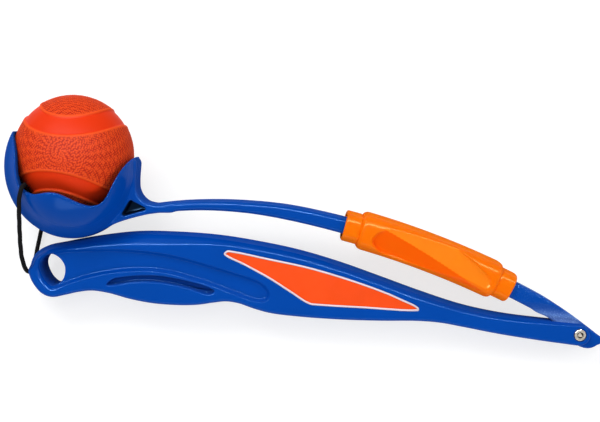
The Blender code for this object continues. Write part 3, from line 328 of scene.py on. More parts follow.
# Where the arm is grained, where painted highlights pale its ramp and where painted shade
# darkens its pockets, in shares of the grip's reach
GRAIN_START = -0.215
GRAIN_START_RUN = 0.03
GRAIN_END = 0.010
GRAIN_END_RUN = 0.02
RAMP_START = -0.125
RAMP_START_RUN = 0.02
RAMP_FADE = 0.0150
RAMP_CONTRAST = 1.7
WINDOW_MARGIN = 0.0015
POCKET_FADE = 0.006
POCKET_LIP = 0.15

# Colours that are mixed into a base colour
# Painted highlight: a paler blue flecked on the arm's grain and laid over its ramp
GRAIN_HIGHLIGHT_BLUE = (0.30, 0.52, 0.98)
# Painted shade: near-black in the neck's pockets
POCKET_SHADE_BLUE = (0.0, 0.006, 0.030)
# Painted light: the sleeve's facet, which faces the light, made lighter
LIT_FACET_ORANGE = (1.0, 0.27, 0.012)
# Painted shade: the sleeve's hollow, which faces away from the light, made deeper
SHADED_HOLLOW_ORANGE = (1.0, 0.100, 0.0)
PEBBLE_ORANGE = (0.91, 0.086, 0.010)
BAND_ORANGE = (0.82, 0.036, 0.001)
# Painted shade: darker in the valleys between the ball's pebbles
VALLEY_SHADE_ORANGE = (0.46, 0.012, 0.001)
# Painted shade in the screw's socket
SOCKET_SHADE = (0.030, 0.026, 0.022)

# Looks by material. Drift is the colour's change and its scale. Gloss is the least and most
# roughness, its scale and the roughness where the surface turns away. Bumps are a noise's scale
# and detail, and the relief's depth and strength.
LOOKS = {
    "moulded_blue": {
        "colour": (0.0, 0.058, 0.375), "roughness": 0.16,
        "dials": {"Specular IOR Level": 0.17, "Specular Tint": (0.22, 0.52, 1.0)},
        "drift": (0.05, 28.0), "gloss": (0.12, 0.20, 160.0, 1.0),
        "bumps": (1500.0, 2.0, 0.00002, 0.5)},
    "sleeve_orange": {
        "colour": (1.0, 0.180, 0.001), "roughness": 0.20,
        "dials": {"Specular IOR Level": 0.14, "Specular Tint": (1.0, 0.66, 0.25),
                  "Subsurface Weight": 0.30, "Subsurface Radius": (1.0, 0.25, 0.05),
                  "Subsurface Scale": 0.004},
        "drift": (0.03, 35.0), "gloss": (0.16, 0.24, 140.0, 1.0),
        "bumps": (900.0, 2.0, 0.00002, 0.4)},
    "label_orange": {
        "colour": (0.93, 0.074, 0.004), "roughness": 0.42, "dials": {"Specular IOR Level": 0.07},
        "drift": (0.05, 60.0), "gloss": (0.38, 0.48, 240.0), "bumps": (2600.0, 2.0, 0.00001, 0.4)},
    "label_silver": {
        "colour": (0.62, 0.53, 0.58), "roughness": 0.45,
        "dials": {"Metallic": 0.10, "Specular IOR Level": 0.10},
        "drift": (0.05, 90.0), "gloss": (0.42, 0.52, 300.0)},
    "screw_plated": {
        "colour": (0.42, 0.39, 0.34), "roughness": 0.25, "dials": {"Metallic": 1.0},
        "drift": (0.08, 500.0), "gloss": (0.16, 0.34, 900.0), "bumps": (3500.0, 3.0, 0.00001, 0.5)},
    "ball_rubber": {
        "colour": (0.87, 0.062, 0.006), "roughness": 0.60, "dials": {"Specular IOR Level": 0.07},
        "bumps": (2200.0, 2.0, 0.00003, 0.6)},
    "braid_black": {
        "colour": (0.006, 0.006, 0.007), "roughness": 0.80, "dials": {"Specular IOR Level": 0.04},
        "drift": (0.35, 1400.0), "bumps": (5200.0, 3.0, 0.00006, 0.9)},
    "crimp_black": {
        "colour": (0.020, 0.020, 0.022), "roughness": 0.42,
        "drift": (0.15, 500.0), "gloss": (0.35, 0.50, 900.0)},
    "studio_white": {
        "colour": (0.36, 0.36, 0.36), "roughness": 0.7, "dials": {"Specular IOR Level": 0.0}},
}
FLOOR_GLOW = 0.72
SKY_GLOW = 0.36

# Lamps: place, point aimed at, size, power and whether only shines show them
LAMPS = {
    "key": ((-0.42, 0.46, 0.78), (0.0, 0.0, 0.0), (0.5, 0.3), 4.4, False),
    "line": ((-0.03, 0.04, 0.95), (0.0, 0.0, 0.0), (1.4, 0.03), 2.4, False),
    "glint": ((-0.12, 0.04, 0.96), (-0.12, 0.0, 0.0), (1.5, 0.05), 40.0, True),
    "front": ((0.0, -0.85, 0.24), (0.0, 0.0, 0.0), (0.9, 0.3), 3.0, False),
    "side": ((0.9, 0.1, 0.5), (0.0, 0.0, 0.0), (0.4, 0.4), 2.2, False),
}


def fold_frame():
    """The matrix from the plane of the fold to the row's frame, from the fold joint."""
    joints = frame["record"]["behaviour"]["joints"]
    joint = next(item for item in joints if item["name"] == "fold")
    out = -Vector(joint["axis"]).normalized()
    along = Vector((out.z, 0.0, -out.x)).normalized()
    up = out.cross(along)
    matrix = Matrix((along, up, out)).transposed().to_4x4()
    matrix.translation = Vector(joint["pos_m"])
    return matrix


FOLD = fold_frame()


# Outlines and curves
def clamp(value):
    return min(max(value, 0.0), 1.0)


def ease(value):
    """A smooth step from 0 to 1."""
    t = clamp(value)
    return t * t * (3 - 2 * t)


def bell(value):
    return math.exp(-value ** 2)


def circle(count):
    """Unit points round a circle."""
    angles = [2 * math.pi * k / count for k in range(count)]
    return [(math.cos(a), math.sin(a)) for a in angles]


def round_steps(count, sweep=math.pi / 2):
    """Points along a round of radius 1, as how far in and how far short of its top they are."""
    angles = [sweep * k / (count - 1) for k in range(count)]
    return [(1 - math.cos(a), 1 - math.sin(a)) for a in angles]


def scaled(shares, size):
    return [Vector([value * size for value in point]) for point in shares]


def spot(share):
    return [value * GRIP_REACH for value in share]


def smooth_loop(points, steps, closed=True):
    """Read a smooth curve through the points, a few steps to each span."""
    count = len(points)
    result = []
    for i in range(count if closed else count - 1):
        if closed:
            p0, p1, p2, p3 = (points[(i + k) % count] for k in (-1, 0, 1, 2))
        else:
            p1, p2 = points[i], points[i + 1]
            p0 = points[i - 1] if i else p1
            p3 = points[i + 2] if i + 2 < count else p2
        d01 = max((p1 - p0).length, (p2 - p1).length * 0.05) ** 0.5
        d12 = (p2 - p1).length ** 0.5
        d23 = max((p3 - p2).length, (p2 - p1).length * 0.05) ** 0.5
        m1 = (p2 - p1) + ((p1 - p0) / d01 - (p2 - p0) / (d01 + d12)) * d12
        m2 = (p2 - p1) + ((p3 - p2) / d23 - (p3 - p1) / (d12 + d23)) * d12
        for k in range(steps):
            t = k / steps
            h00 = 2 * t ** 3 - 3 * t ** 2 + 1
            h10 = t ** 3 - 2 * t ** 2 + t
            h01 = -2 * t ** 3 + 3 * t ** 2
            h11 = t ** 3 - t ** 2
            result.append(p1 * h00 + m1 * h10 + p2 * h01 + m2 * h11)
    if not closed:
        result.append(points[-1])
    return result


def grip_curve(shares):
    return smooth_loop(scaled(shares, GRIP_REACH), CURVE_STEPS)


def signed_area(loop):
    total = 0.0
    for i, p in enumerate(loop):
        q = loop[(i + 1) % len(loop)]
        total += p[0] * q[1] - q[0] * p[1]
    return total / 2


def inward(loop):
    """Unit normals that point into a flat closed outline."""
    side = 1.0 if signed_area(loop) > 0 else -1.0
    count = len(loop)
    normals = []
    for i in range(count):
        along = loop[(i + 1) % count] - loop[i - 1]
        normals.append(Vector((-along[1], along[0])).normalized() * side)
    return normals


def inset(loop, distance):
    return [p + n * distance for p, n in zip(loop, inward(loop))]


def clean_inset(loop, distance):
    """An inset outline without the folds that tight corners would give it."""
    kept = []
    for spot in inset(loop, distance):
        least = math.inf
        for i, p in enumerate(loop):
            side = loop[(i + 1) % len(loop)] - p
            share = min(max((spot - p).dot(side) / side.length_squared, 0.0), 1.0)
            least = min(least, (p + side * share - spot).length)
        if least > distance * 0.9:
            kept.append(spot)
    return kept


def encloses(loop, x, y):
    """Whether a flat closed outline holds a point."""
    held = False
    for p, q in zip(loop, loop[1:] + loop[:1]):
        if (p[1] > y) != (q[1] > y) and x < p[0] + (q[0] - p[0]) * (y - p[1]) / (q[1] - p[1]):
            held = not held
    return held


def turned(point, angle):
    c, s = math.cos(angle), math.sin(angle)
    return Vector((point[0] * c - point[1] * s, point[0] * s + point[1] * c))


# Mesh helpers
def mesh_from(name, bm):
    mesh = bpy.data.meshes.new(name)
    bm.to_mesh(mesh)
    bm.free()
    return mesh


def crease(mesh, angle):
    """Smooth shading, with sharp edges where the faces turn by more than an angle."""
    mesh.shade_smooth()
    mesh.set_sharp_from_angle(angle=angle)


def store(mesh, **marks):
    """Keep a number for each vertex under each name."""
    for name, values in marks.items():
        mesh.attributes.new(name, "FLOAT", "POINT").data.foreach_set("value", values)


def finish_mesh(name, bm, smooth=CREASE):
    bmesh.ops.remove_doubles(bm, verts=bm.verts, dist=MERGE_GAP)
    bmesh.ops.recalc_face_normals(bm, faces=bm.faces)
    if bm.calc_volume(signed=True) < 0:
        bmesh.ops.reverse_faces(bm, faces=bm.faces)
    mesh = mesh_from(name, bm)
    crease(mesh, smooth)
    return mesh


def skin(name, rings, closed=False, smooth=CREASE):
    """Skin a stack of closed rings, capped at both ends or joined end to end."""
    bm = bmesh.new()
    rows = [[bm.verts.new(p) for p in ring] for ring in rings]
    pairs = list(zip(rows, rows[1:]))
    if closed:
        pairs.append((rows[-1], rows[0]))
    for low, high in pairs:
        for i in range(len(low)):
            j = (i + 1) % len(low)
            bm.faces.new((low[i], low[j], high[j], high[i]))
    if not closed:
        bm.faces.new(list(reversed(rows[0])))
        bm.faces.new(rows[-1])
    return finish_mesh(name, bm, smooth)


def lathe_mesh(name, profile, sides=64):
    """A turned piece about the pivot axis: profile points are (radius, height)."""
    bm = bmesh.new()
    rows = [[bm.verts.new((r * c, r * s, z)) for r, z in profile] for c, s in circle(sides)]
    for low, high in zip(rows, rows[1:] + rows[:1]):
        for i in range(len(profile) - 1):
            starts_on_axis, ends_on_axis = profile[i][0] == 0, profile[i + 1][0] == 0
            corners = [low[i], high[i], high[i + 1], low[i + 1]]
            if starts_on_axis and ends_on_axis:
                continue
            if starts_on_axis:
                del corners[1]
            if ends_on_axis:
                del corners[2]
            bm.faces.new(corners)
    return finish_mesh(name, bm)


def cylinder_mesh(name, radius, low, high, sides=64):
    bm = bmesh.new()
    bmesh.ops.create_cone(bm, cap_ends=True, segments=sides, radius1=radius, radius2=radius,
                          depth=high - low)
    bmesh.ops.translate(bm, verts=bm.verts, vec=(0.0, 0.0, (low + high) / 2))
    return finish_mesh(name, bm)


def pivot_hole():
    return cylinder_mesh("cut_pivot", PIVOT_HOLE_RADIUS, -OVERRUN * 4, OVERRUN * 4)


def ellipsoid_mesh(name, centre, halves, across=96, down=60):
    bm = bmesh.new()
    bmesh.ops.create_uvsphere(bm, u_segments=across, v_segments=down, radius=1.0)
    bmesh.ops.scale(bm, verts=bm.verts, vec=halves)
    bmesh.ops.translate(bm, verts=bm.verts, vec=centre)
    return finish_mesh(name, bm)


def slab_mesh(name, loop, low, high):
    return skin(name, [[(p[0], p[1], z) for p in loop] for z in (low, high)])


def place(name, data, mat=None):
    """A new object of the scene, with its material."""
    obj = bpy.data.objects.new(name, data)
    bpy.context.scene.collection.objects.link(obj)
    if mat is not None:
        data.materials.clear()
        data.materials.append(mat)
    return obj


def cut(target, tools):
    """Cut each tool mesh out of the target and remove the tool."""
    for tool in tools:
        helper = place(tool.name, tool)
        mod = target.modifiers.new("cut", "BOOLEAN")
        mod.operation = "DIFFERENCE"
        mod.solver = "EXACT"
        mod.object = helper
        bake(target)
        bpy.data.objects.remove(helper, do_unlink=True)


def fuse(target, tools, voxel, smooth=0):
    """Join tool meshes to the target, wrap all in one even skin and soften its edges."""
    bm = bmesh.new()
    bm.from_mesh(target.data)
    for tool in tools:
        bm.from_mesh(tool)
        bpy.data.meshes.remove(tool)
    bm.to_mesh(target.data)
    bm.free()
    wrap = target.modifiers.new("even", "REMESH")
    wrap.mode = "VOXEL"
    wrap.voxel_size = voxel
    if smooth:
        soften = target.modifiers.new("soften", "SMOOTH")
        soften.factor = 0.5
        soften.iterations = smooth
    bake(target)


def bake(target):
    """Apply the modifiers on an object to its mesh."""
    bpy.context.view_layer.update()
    graph = bpy.context.evaluated_depsgraph_get()
    done = bpy.data.meshes.new_from_object(target.evaluated_get(graph), depsgraph=graph)
    target.modifiers.clear()
    old = target.data
    target.data = done
    done.name = old.name
    bpy.data.meshes.remove(old)


def dress(obj, body, node):
    """Move a piece's mesh from the plane of the fold to the row's frame, and say what it rides
    with and which node it takes the place of."""
    obj.data.transform(FOLD)
    obj.data.update()
    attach(obj, body)
    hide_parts(node)


# Grip
def grip_half_depth(x):
    share = clamp(-x / GRIP_REACH)
    return GRIP_HALF_DEPTH_AT_HINGE + (GRIP_HALF_DEPTH_AT_END - GRIP_HALF_DEPTH_AT_HINGE) * share


def grip_outline(steps=CURVE_STEPS, lifted=False):
    points = scaled(GRIP_SHARES, GRIP_REACH)
    if lifted:
        for point, lift in zip(points, TOP_LIFT_SHARES):
            point[1] += lift * GRIP_REACH
    angles = [math.radians(EAR_ARC_START + k * EAR_ARC_STEP) for k in range(EAR_ARC_POINTS)]
    arc = [Vector((math.cos(angle), math.sin(angle))) * EAR_RADIUS for angle in angles]
    return smooth_loop(points + arc, steps)


def shoulder_level(t, half_depth, radius):
    """Inset and height of the broad upper shoulder at a share t of its way in: a long slope,
    then a round brow onto the face."""
    bend = BROW_WIDTH * radius / math.sin(BROW_TURN)
    low = half_depth - bend * (1 - math.cos(BROW_TURN))
    if t < SLOPE_RUN:
        angle = SLOPE_TURN * t / SLOPE_RUN
        inward_by = SLOPE_WIDTH * radius * (1 - math.cos(angle)) / (1 - math.cos(SLOPE_TURN))
        return inward_by, low * math.sin(angle) / math.sin(SLOPE_TURN)
    angle = BROW_TURN * (1 - t) / BROW_RUN
    return radius - bend * math.sin(angle), half_depth - bend * (1 - math.cos(angle))


def edge_level(t, half_depth, radius):
    """Inset and height of the crisp lower edge: an upright wall and a small round."""
    if t < WALL_RUN:
        return 0.0, (half_depth - radius) * t / WALL_RUN
    angle = math.pi / 2 * (t - WALL_RUN) / EDGE_RUN
    return radius * (1 - math.cos(angle)), half_depth - radius * (1 - math.sin(angle))


def grip_body(name, side):
    loop = grip_outline(lifted=True)
    normals = inward(loop)
    rings = [[] for k in range(GRIP_LEVELS + 1)]
    for p, n in zip(loop, normals):
        deep = grip_half_depth(p[0])
        near = clamp(-p[0] / (GRIP_REACH * SHOULDER_GROWTH))
        broad = SHOULDER * (1 + SWELL * bell((p[0] / GRIP_REACH + SWELL_PLACE) / SWELL_REACH))
        shoulder = SHOULDER_AT_HINGE + (broad - SHOULDER_AT_HINGE) * near
        low = SHOULDER_AT_HINGE + (LOWER_ROUND - SHOULDER_AT_HINGE) * near
        upper = ease(0.5 - n[1] * UPPER_CONTRAST)
        for k, ring in enumerate(rings):
            d1, z1 = shoulder_level(k / GRIP_LEVELS, deep, shoulder)
            d2, z2 = edge_level(k / GRIP_LEVELS, deep, low)
            q = p + n * (d1 * upper + d2 * (1 - upper))
            z = max(z1 * upper + z2 * (1 - upper), HALF_SEAM)
            if k == GRIP_LEVELS:
                z = grip_half_depth(q[0])
            ring.append((q[0], q[1], z * side))
    first = [(p[0] + n[0] * HALF_SEAM, p[1] + n[1] * HALF_SEAM, HALF_SEAM * side)
             for p, n in zip(loop, normals)]
    rings[0] = [(x, y, (HALF_SEAM + HALF_SEAM * 2) * side) for x, y, z in rings[0]]
    return skin(name, [first] + rings, smooth=GRIP_CREASE)


def sunk_ring(loop, distance, drop, side):
    """An outline moved inward by a distance and sunk below the grip's face on one side."""
    return [(p[0], p[1], side * (grip_half_depth(p[0]) - drop)) for p in inset(loop, distance)]


def recess(name, side):
    """A recess cutter with a leaning wall, a rounded brim and a filleted floor."""
    shares, depth, draft, brim, fillet = RECESSES[name]
    levels = [(draft + fillet * s, depth - fillet * c) for c, s in round_steps(5)]
    levels += [(-brim * c, brim * s) for c, s in round_steps(10, BRIM_SWEEP)]
    levels.append((levels[-1][0] - brim * 0.05, -OVERRUN))
    loop = grip_curve(shares)
    return skin(name, [sunk_ring(loop, d, drop, side) for d, drop in levels])


def eye_cutter():
    """The eye hole's cutter: straight in the middle, flaring softly onto both faces."""
    loop = grip_curve(EYE_SHARES)
    rings = []
    for side in (-1, 1):
        levels = [(-EYE_BRIM * EYE_FLARE, -OVERRUN)]
        for k in range(10):
            a = EYE_SWEEP * (1 - k / 9)
            levels.append((-EYE_BRIM * (1 - math.cos(a)), EYE_BRIM * (1 - math.sin(a))))
        if side > 0:
            levels.reverse()
        rings += [sunk_ring(loop, d, drop, side) for d, drop in levels]
    return skin("cut_eye", rings)


def crossing(p, d, q, e):
    det = d[0] * e[1] - d[1] * e[0]
    t = ((q[0] - p[0]) * e[1] - (q[1] - p[1]) * e[0]) / det
    return p + d * t


def fork_slot():
    """The gap between the ears, ending in a V that the shut arm and the open nose lie along."""
    pts = scaled(HINGE_OUTLINE_SHARES, GRIP_REACH)
    a, b = pts[15], pts[14]
    upper_dir = (b - a).normalized()
    away = 1 if upper_dir[1] < 0 else -1
    upper_point = a + Vector((upper_dir[1], -upper_dir[0])) * RUN_GAP * away
    tip, heel = turned(pts[7], -OPEN_ANGLE), turned(pts[8], -OPEN_ANGLE)
    lower_dir = (heel - tip).normalized()
    lower_point = tip + Vector((-lower_dir[1], lower_dir[0])) * RUN_GAP
    apex = crossing(upper_point, upper_dir, lower_point, lower_dir)
    polygon = [apex, apex - lower_dir * FAR, Vector((FAR, -FAR)), Vector((FAR, FAR)),
               apex - upper_dir * FAR]
    half = TONGUE_HALF + TOUCH_GAP
    return slab_mesh("cut_fork_slot", polygon, -half, half)


def head_pocket(side):
    """The round pocket of the screw's head, with a small chamfer."""
    wide = HEAD_POCKET_RADIUS + TOUCH_GAP * 2
    profile = ((0.0, -HEAD_POCKET_DEPTH), (HEAD_POCKET_RADIUS, -HEAD_POCKET_DEPTH),
               (HEAD_POCKET_RADIUS, -TOUCH_GAP), (wide, TOUCH_GAP), (wide, OVERRUN), (0.0, OVERRUN))
    return lathe_mesh("cut_head", [(r, side * (GRIP_HALF_DEPTH_AT_HINGE + rise))
                                   for r, rise in profile])


def build_grip(blue):
    for name, node, side in (("grip_front", "handle_front_shell", 1),
                             ("grip_rear", "handle_rear_shell", -1)):
        shell = place(name, grip_body(node, side), blue)
        tools = [recess("cut_panel", side), recess("cut_groove", side), eye_cutter(), fork_slot(),
                 head_pocket(side), pivot_hole()]
        if side > 0:
            tools.append(recess("cut_badge", side))
        cut(shell, tools)
        crease(shell.data, GRIP_CREASE)
        dress(shell, "handle", node)


def build_badge(orange, silver):
    badge = grip_curve(BADGE_SHARES)
    outer = inset(badge, TOUCH_GAP * 0.5)
    inner = inset(badge, BADGE_BORDER)
    plate = clean_inset(inner, TOUCH_GAP * 0.35)
    base = -BADGE_DEPTH + TOUCH_GAP
    soft = BADGE_PROUD

    def level(points, rise):
        return [(p[0], p[1], grip_half_depth(p[0]) + rise) for p in points]

    rings = [level(outer, base), level(outer, 0.0), level(inset(outer, soft * 0.3), soft * 0.7),
             level(inset(outer, soft), soft), level(inset(inner, -soft), soft),
             level(inset(inner, -soft * 0.3), soft * 0.7), level(inner, 0.0), level(inner, base)]
    trim = place("label_border", skin("label_border", rings, closed=True), silver)
    dress(trim, "handle", "badge_trim")
    rings = [level(plate, base), level(plate, -soft * 0.4), level(plate, 0.0)]
    mesh = skin("label_face", rings)
    bm = bmesh.new()
    bm.from_mesh(mesh)
    for k in range(1, BADGE_SLICES):
        x = BADGE_SHARES[0][0] * GRIP_REACH * (1 - k * BADGE_SLICE)
        bmesh.ops.bisect_plane(bm, geom=bm.verts[:] + bm.edges[:] + bm.faces[:],
                               plane_co=(x, 0.0, 0.0), plane_no=(1.0, 0.0, 0.0))
    bm.to_mesh(mesh)
    bm.free()
    dress(place("label_face", mesh, orange), "handle", "badge_plate")


# Throwing arm
def front_arc_start():
    crest = Vector(ARM_CREST_SHARE) * GRIP_REACH
    up = Vector((0.0, ARM_BACK_RADIUS))
    return crest - up + turned(up, ARM_FRONT_TILT)


def front_arc_centre():
    return front_arc_start() - turned(Vector((0.0, ARM_FRONT_RADIUS)), ARM_FRONT_TILT)


def front_arc_point(run):
    centre = front_arc_centre()
    return centre + turned(front_arc_start() - centre, -run / ARM_FRONT_RADIUS)


def thick_share(at):
    table = NECK_THICK_SHARES
    if at >= table[-1][0]:
        return min(table[-1][1] + (at - table[-1][0]) * 0.25, 1.0)
    for (a, va), (b, vb) in zip(table, table[1:]):
        if a <= at <= b:
            return va + (vb - va) * (at - a) / (b - a)
    return table[0][1]


def arm_stations():
    """Centreline points, upward normals and thickness shares from the neck to the hinge."""
    crest = Vector(ARM_CREST_SHARE) * GRIP_REACH
    stations = []
    for k in range(NECK_STATIONS):
        up = turned(Vector((0.0, 1.0)), ARM_NECK_RUN * (1 - k / NECK_STATIONS) / ARM_NECK_RADIUS)
        point = crest - Vector((0.0, ARM_NECK_RADIUS)) + up * ARM_NECK_RADIUS
        stations.append((point, up, thick_share(NECK_PART * k / NECK_STATIONS)))
    for k in range(CREST_STATIONS):
        up = turned(Vector((0.0, 1.0)), ARM_FRONT_TILT * k / CREST_STATIONS)
        point = crest - Vector((0.0, ARM_BACK_RADIUS)) + up * ARM_BACK_RADIUS
        stations.append((point, up, thick_share(NECK_PART + CREST_PART * k / CREST_STATIONS)))
    for k in range(BAR_STATIONS + 1):
        share = k / BAR_STATIONS
        point = front_arc_point(ARM_FRONT_RUN * share * BAR_REACH)
        up = (point - front_arc_centre()).normalized()
        stations.append((point, up, thick_share(BAR_PART + share)))
    return stations


def rounded_box(half_height, half_depth, radius, corner=6):
    """Points round a rounded rectangle, as (height, depth), anticlockwise."""
    radius = min(radius, half_height * 0.9)
    points = []
    for sh, sd, start in ((1, 1, 0), (-1, 1, 90), (-1, -1, 180), (1, -1, 270)):
        for k in range(corner + 1):
            angle = math.radians(start + 90.0 * k / corner)
            points.append((sh * (half_height - radius) + radius * math.cos(angle),
                           sd * (half_depth - radius) + radius * math.sin(angle)))
    return points


def section_ring(point, up, section):
    """A section's points, as (height, depth), laid about a point of a centreline."""
    return [(point[0] + up[0] * h, point[1] + up[1] * h, d) for h, d in section]


def arm_bar_mesh():
    rings = []
    stations = arm_stations()
    for k, (point, up, share) in enumerate(stations):
        crisp = min((len(stations) - 1 - k) / 16, 1.0)
        corner = ARM_ROUND * (0.4 + 0.7 * crisp)
        section = rounded_box(ARM_THICK * share / 2, ARM_HALF_DEPTH, corner, 9)
        rings.append(section_ring(point, up, section))
    return skin("add_bar", rings)


def flat_piece(name, shares, half_depth, radius):
    """A flat outline of full depth with its long edges rounded, drawn about the mid-plane."""
    loop = grip_curve(shares)
    levels = [(radius * s, half_depth - radius * c) for c, s in round_steps(6)]
    levels += [(d, -z) for d, z in reversed(levels)]
    return skin(name, [[(p[0], p[1], z) for p in inset(loop, d)] for d, z in levels])


def handle_top_height(x):
    best = None
    loop = grip_outline(2)
    for i, p in enumerate(loop):
        q = loop[(i + 1) % len(loop)]
        if min(p[0], q[0]) <= x <= max(p[0], q[0]) and p[0] != q[0]:
            y = p[1] + (q[1] - p[1]) * (x - p[0]) / (q[0] - p[0])
            best = y if best is None else max(best, y)
    return best


def cup_drop():
    """The cup's half height, so that the shut cup rests on the grip with the touching gap."""
    cx, cy = spot(CUP_CENTRE_SHARE)
    least = None
    for k in range(-30, 31):
        share = k / 40
        top = handle_top_height(cx + CUP_HALF_WIDTH * share)
        if top is None:
            continue
        need = (cy - top - TOUCH_GAP * 1.3) / math.sqrt(1 - share * share)
        least = need if least is None else min(least, need)
    return least


def ramp_cutter():
    """The wedge that thins the arm to its tongue, along the grip's upper edge."""
    foot = scaled(GRIP_SHARES[:1], GRIP_REACH)[0]
    along = (foot - Vector((0.0, EAR_RADIUS))).normalized()
    across = Vector((along[1], -along[0]))
    if across[1] < 0:
        across = -across
    base = Vector((0.0, EAR_RADIUS)) + across * TOUCH_GAP
    deep = ARM_HALF_DEPTH + OVERRUN
    rise = RAMP_RISE * (deep - TONGUE_HALF) / (ARM_HALF_DEPTH - TONGUE_HALF)
    profile = ((-FAR, TONGUE_HALF), (0.0, TONGUE_HALF), (rise, deep), (-FAR, deep))
    tools = []
    for side in (1, -1):
        rings = []
        for end in (-FAR, FAR):
            spots = [(base + along * end + across * w, z * side) for w, z in profile]
            rings.append([(p[0], p[1], z) for p, z in spots])
        tools.append(skin("cut_ramp", rings))
    return tools


def ball_way_mesh():
    """The room that the ball needs to drop into the cup and come out of it."""
    bx, by = spot(BALL_SHARE)
    reach = BALL_RADIUS + RUN_GAP
    profile = [(0.0, -reach)]
    for k in range(1, BALL_WAY_STEPS):
        angle = math.pi / 2 * k / BALL_WAY_STEPS
        profile.append((reach * math.sin(angle), -reach * math.cos(angle)))
    profile += [(reach, 0.0), (reach, BALL_EXIT_RUN), (0.0, BALL_EXIT_RUN)]
    mesh = lathe_mesh("cut_ball_way", profile, 96)
    turn = Matrix.Rotation(-BALL_EXIT_TILT, 4, "Z") @ Matrix.Rotation(math.radians(-90.0), 4, "X")
    mesh.transform(Matrix.Translation((bx, by, 0.0)) @ turn)
    return mesh


def rim_mesh():
    curve = smooth_loop(scaled(RIM_SHARES, GRIP_REACH), CURVE_STEPS, closed=False)
    high = GRIP_REACH * 0.6
    outline = curve + [Vector((curve[-1][0], high)), Vector((curve[0][0], high))]
    return slab_mesh("cut_rim", outline, -FAR, FAR)


def build_arm(blue):
    cx, cy = spot(CUP_CENTRE_SHARE)
    hx, hy = spot(CUP_HOLLOW_SHARE)
    cup = ellipsoid_mesh("arm", (cx, cy, 0.0), (CUP_HALF_WIDTH, cup_drop(), CUP_HALF_DEPTH))
    arm = place("arm_and_cup", cup, blue)
    neck = flat_piece("add_neck", NECK_SHARES, ARM_HALF_DEPTH, ARM_ROUND * 0.55)
    bar = arm_bar_mesh()
    tongue = flat_piece("add_tongue", HINGE_OUTLINE_SHARES, ARM_HALF_DEPTH, ARM_ROUND * 0.4)
    fuse(arm, [neck, bar, tongue], ARM_VOXEL)
    hollow = ellipsoid_mesh("cut_hollow", (hx, hy, 0.0),
                            (CUP_HOLLOW_HALF_WIDTH, CUP_HOLLOW_DROP, CUP_HOLLOW_HALF_DEPTH))
    outline = scaled(NECK_WINDOW_SHARES, GRIP_REACH)
    deep = ARM_HALF_DEPTH + OVERRUN
    window = [slab_mesh("cut_window", outline, low, high)
              for low, high in ((NECK_WEB_HALF, deep), (-deep, -NECK_WEB_HALF))]
    cut(arm, [rim_mesh(), hollow, ball_way_mesh()] + window + ramp_cutter() + [pivot_hole()])
    fuse(arm, [], ARM_VOXEL, 5)
    arm.data.materials.clear()
    arm.data.materials.append(blue)
    arm.data.shade_smooth()
    dress(arm, "arm", "launcher_arm")


# Lock sleeve
def sleeve_size(share):
    """Half height and half depth of the sleeve at a share of its length."""
    side = min(share, 1 - share)
    rise = clamp((side - COLLAR) / (COLLAR * COLLAR_RISE))
    swell = math.sqrt(1 - (1 - rise) ** 2)
    height = SLEEVE_COLLAR_HALF_HEIGHT + (SLEEVE_HALF_HEIGHT - SLEEVE_COLLAR_HALF_HEIGHT) * swell
    depth = SLEEVE_COLLAR_HALF_DEPTH + (SLEEVE_HALF_DEPTH - SLEEVE_COLLAR_HALF_DEPTH) * swell
    lip = min(side / (COLLAR * COLLAR_LIP), 1.0)
    trim = SLEEVE_COLLAR * 0.10 * (1 - math.sqrt(max(1 - (1 - lip) ** 2, 0.0)))
    dip = SLEEVE_COLLAR * 0.03 * bell((side - COLLAR) / (COLLAR * 0.06))
    return height - trim - dip, depth - trim - dip


def sleeve_scoop(share, v, deep):
    """How far the face is sunk where its depth is deep, at a share of the length and a height v
    from -1 to 1, and whether that is in the hollow or on the facet. Two planes fall away from a
    diagonal ridge: a long hollow below it, with a round end, and a facet above it, which a
    curved wall ends."""
    ridge = RIDGE_HEIGHT - RIDGE_FALL * (share - RIDGE_PLACE)
    crest = SLEEVE_HALF_DEPTH * RIDGE_CREST
    if v < ridge:
        reach = HOLLOW_REACH_UP if v > HOLLOW_MIDDLE else HOLLOW_REACH_DOWN
        end = HOLLOW_END + HOLLOW_BULGE * ((v - HOLLOW_MIDDLE) / reach) ** 2
        wall = ease((share - end) / HOLLOW_WALL) * ease((v - HOLLOW_FOOT) / HOLLOW_FOOT_RUN)
        plane = max(crest - SLEEVE_HOLLOW_SLOPE * (ridge - v) * SLEEVE_HALF_HEIGHT,
                    SLEEVE_HALF_DEPTH * HOLLOW_FLOOR)
        return max(deep - plane, 0.0) * wall, wall, 0.0
    end = FACET_END - FACET_BULGE * (v - FACET_MIDDLE) ** 2
    wall = ease((end + FACET_WALL - share) / FACET_WALL)
    wall *= ease((share - FACET_START) / FACET_START_RUN)
    plane = crest - SLEEVE_FACET_SLOPE * (v - ridge) * SLEEVE_HALF_HEIGHT
    return max(deep - plane, 0.0) * wall, 0.0, wall * ease((deep - plane) / FACET_EDGE)


def even_section(power, count):
    """Unit points evenly round a rounded section, as (height, depth)."""
    fine = [tuple(math.copysign(abs(value) ** power, value) for value in point)
            for point in circle(4000)]
    runs = [0.0]
    for p, q in zip(fine, fine[1:] + fine[:1]):
        runs.append(runs[-1] + math.hypot((q[0] - p[0]) * SLEEVE_HALF_HEIGHT,
                                          (q[1] - p[1]) * SLEEVE_HALF_DEPTH))
    points, i = [], 0
    for k in range(count):
        while runs[i + 1] < runs[-1] * k / count:
            i += 1
        points.append(fine[i])
    return points


def rounded_spot(spot_at):
    return tuple(round(value, 6) for value in spot_at)


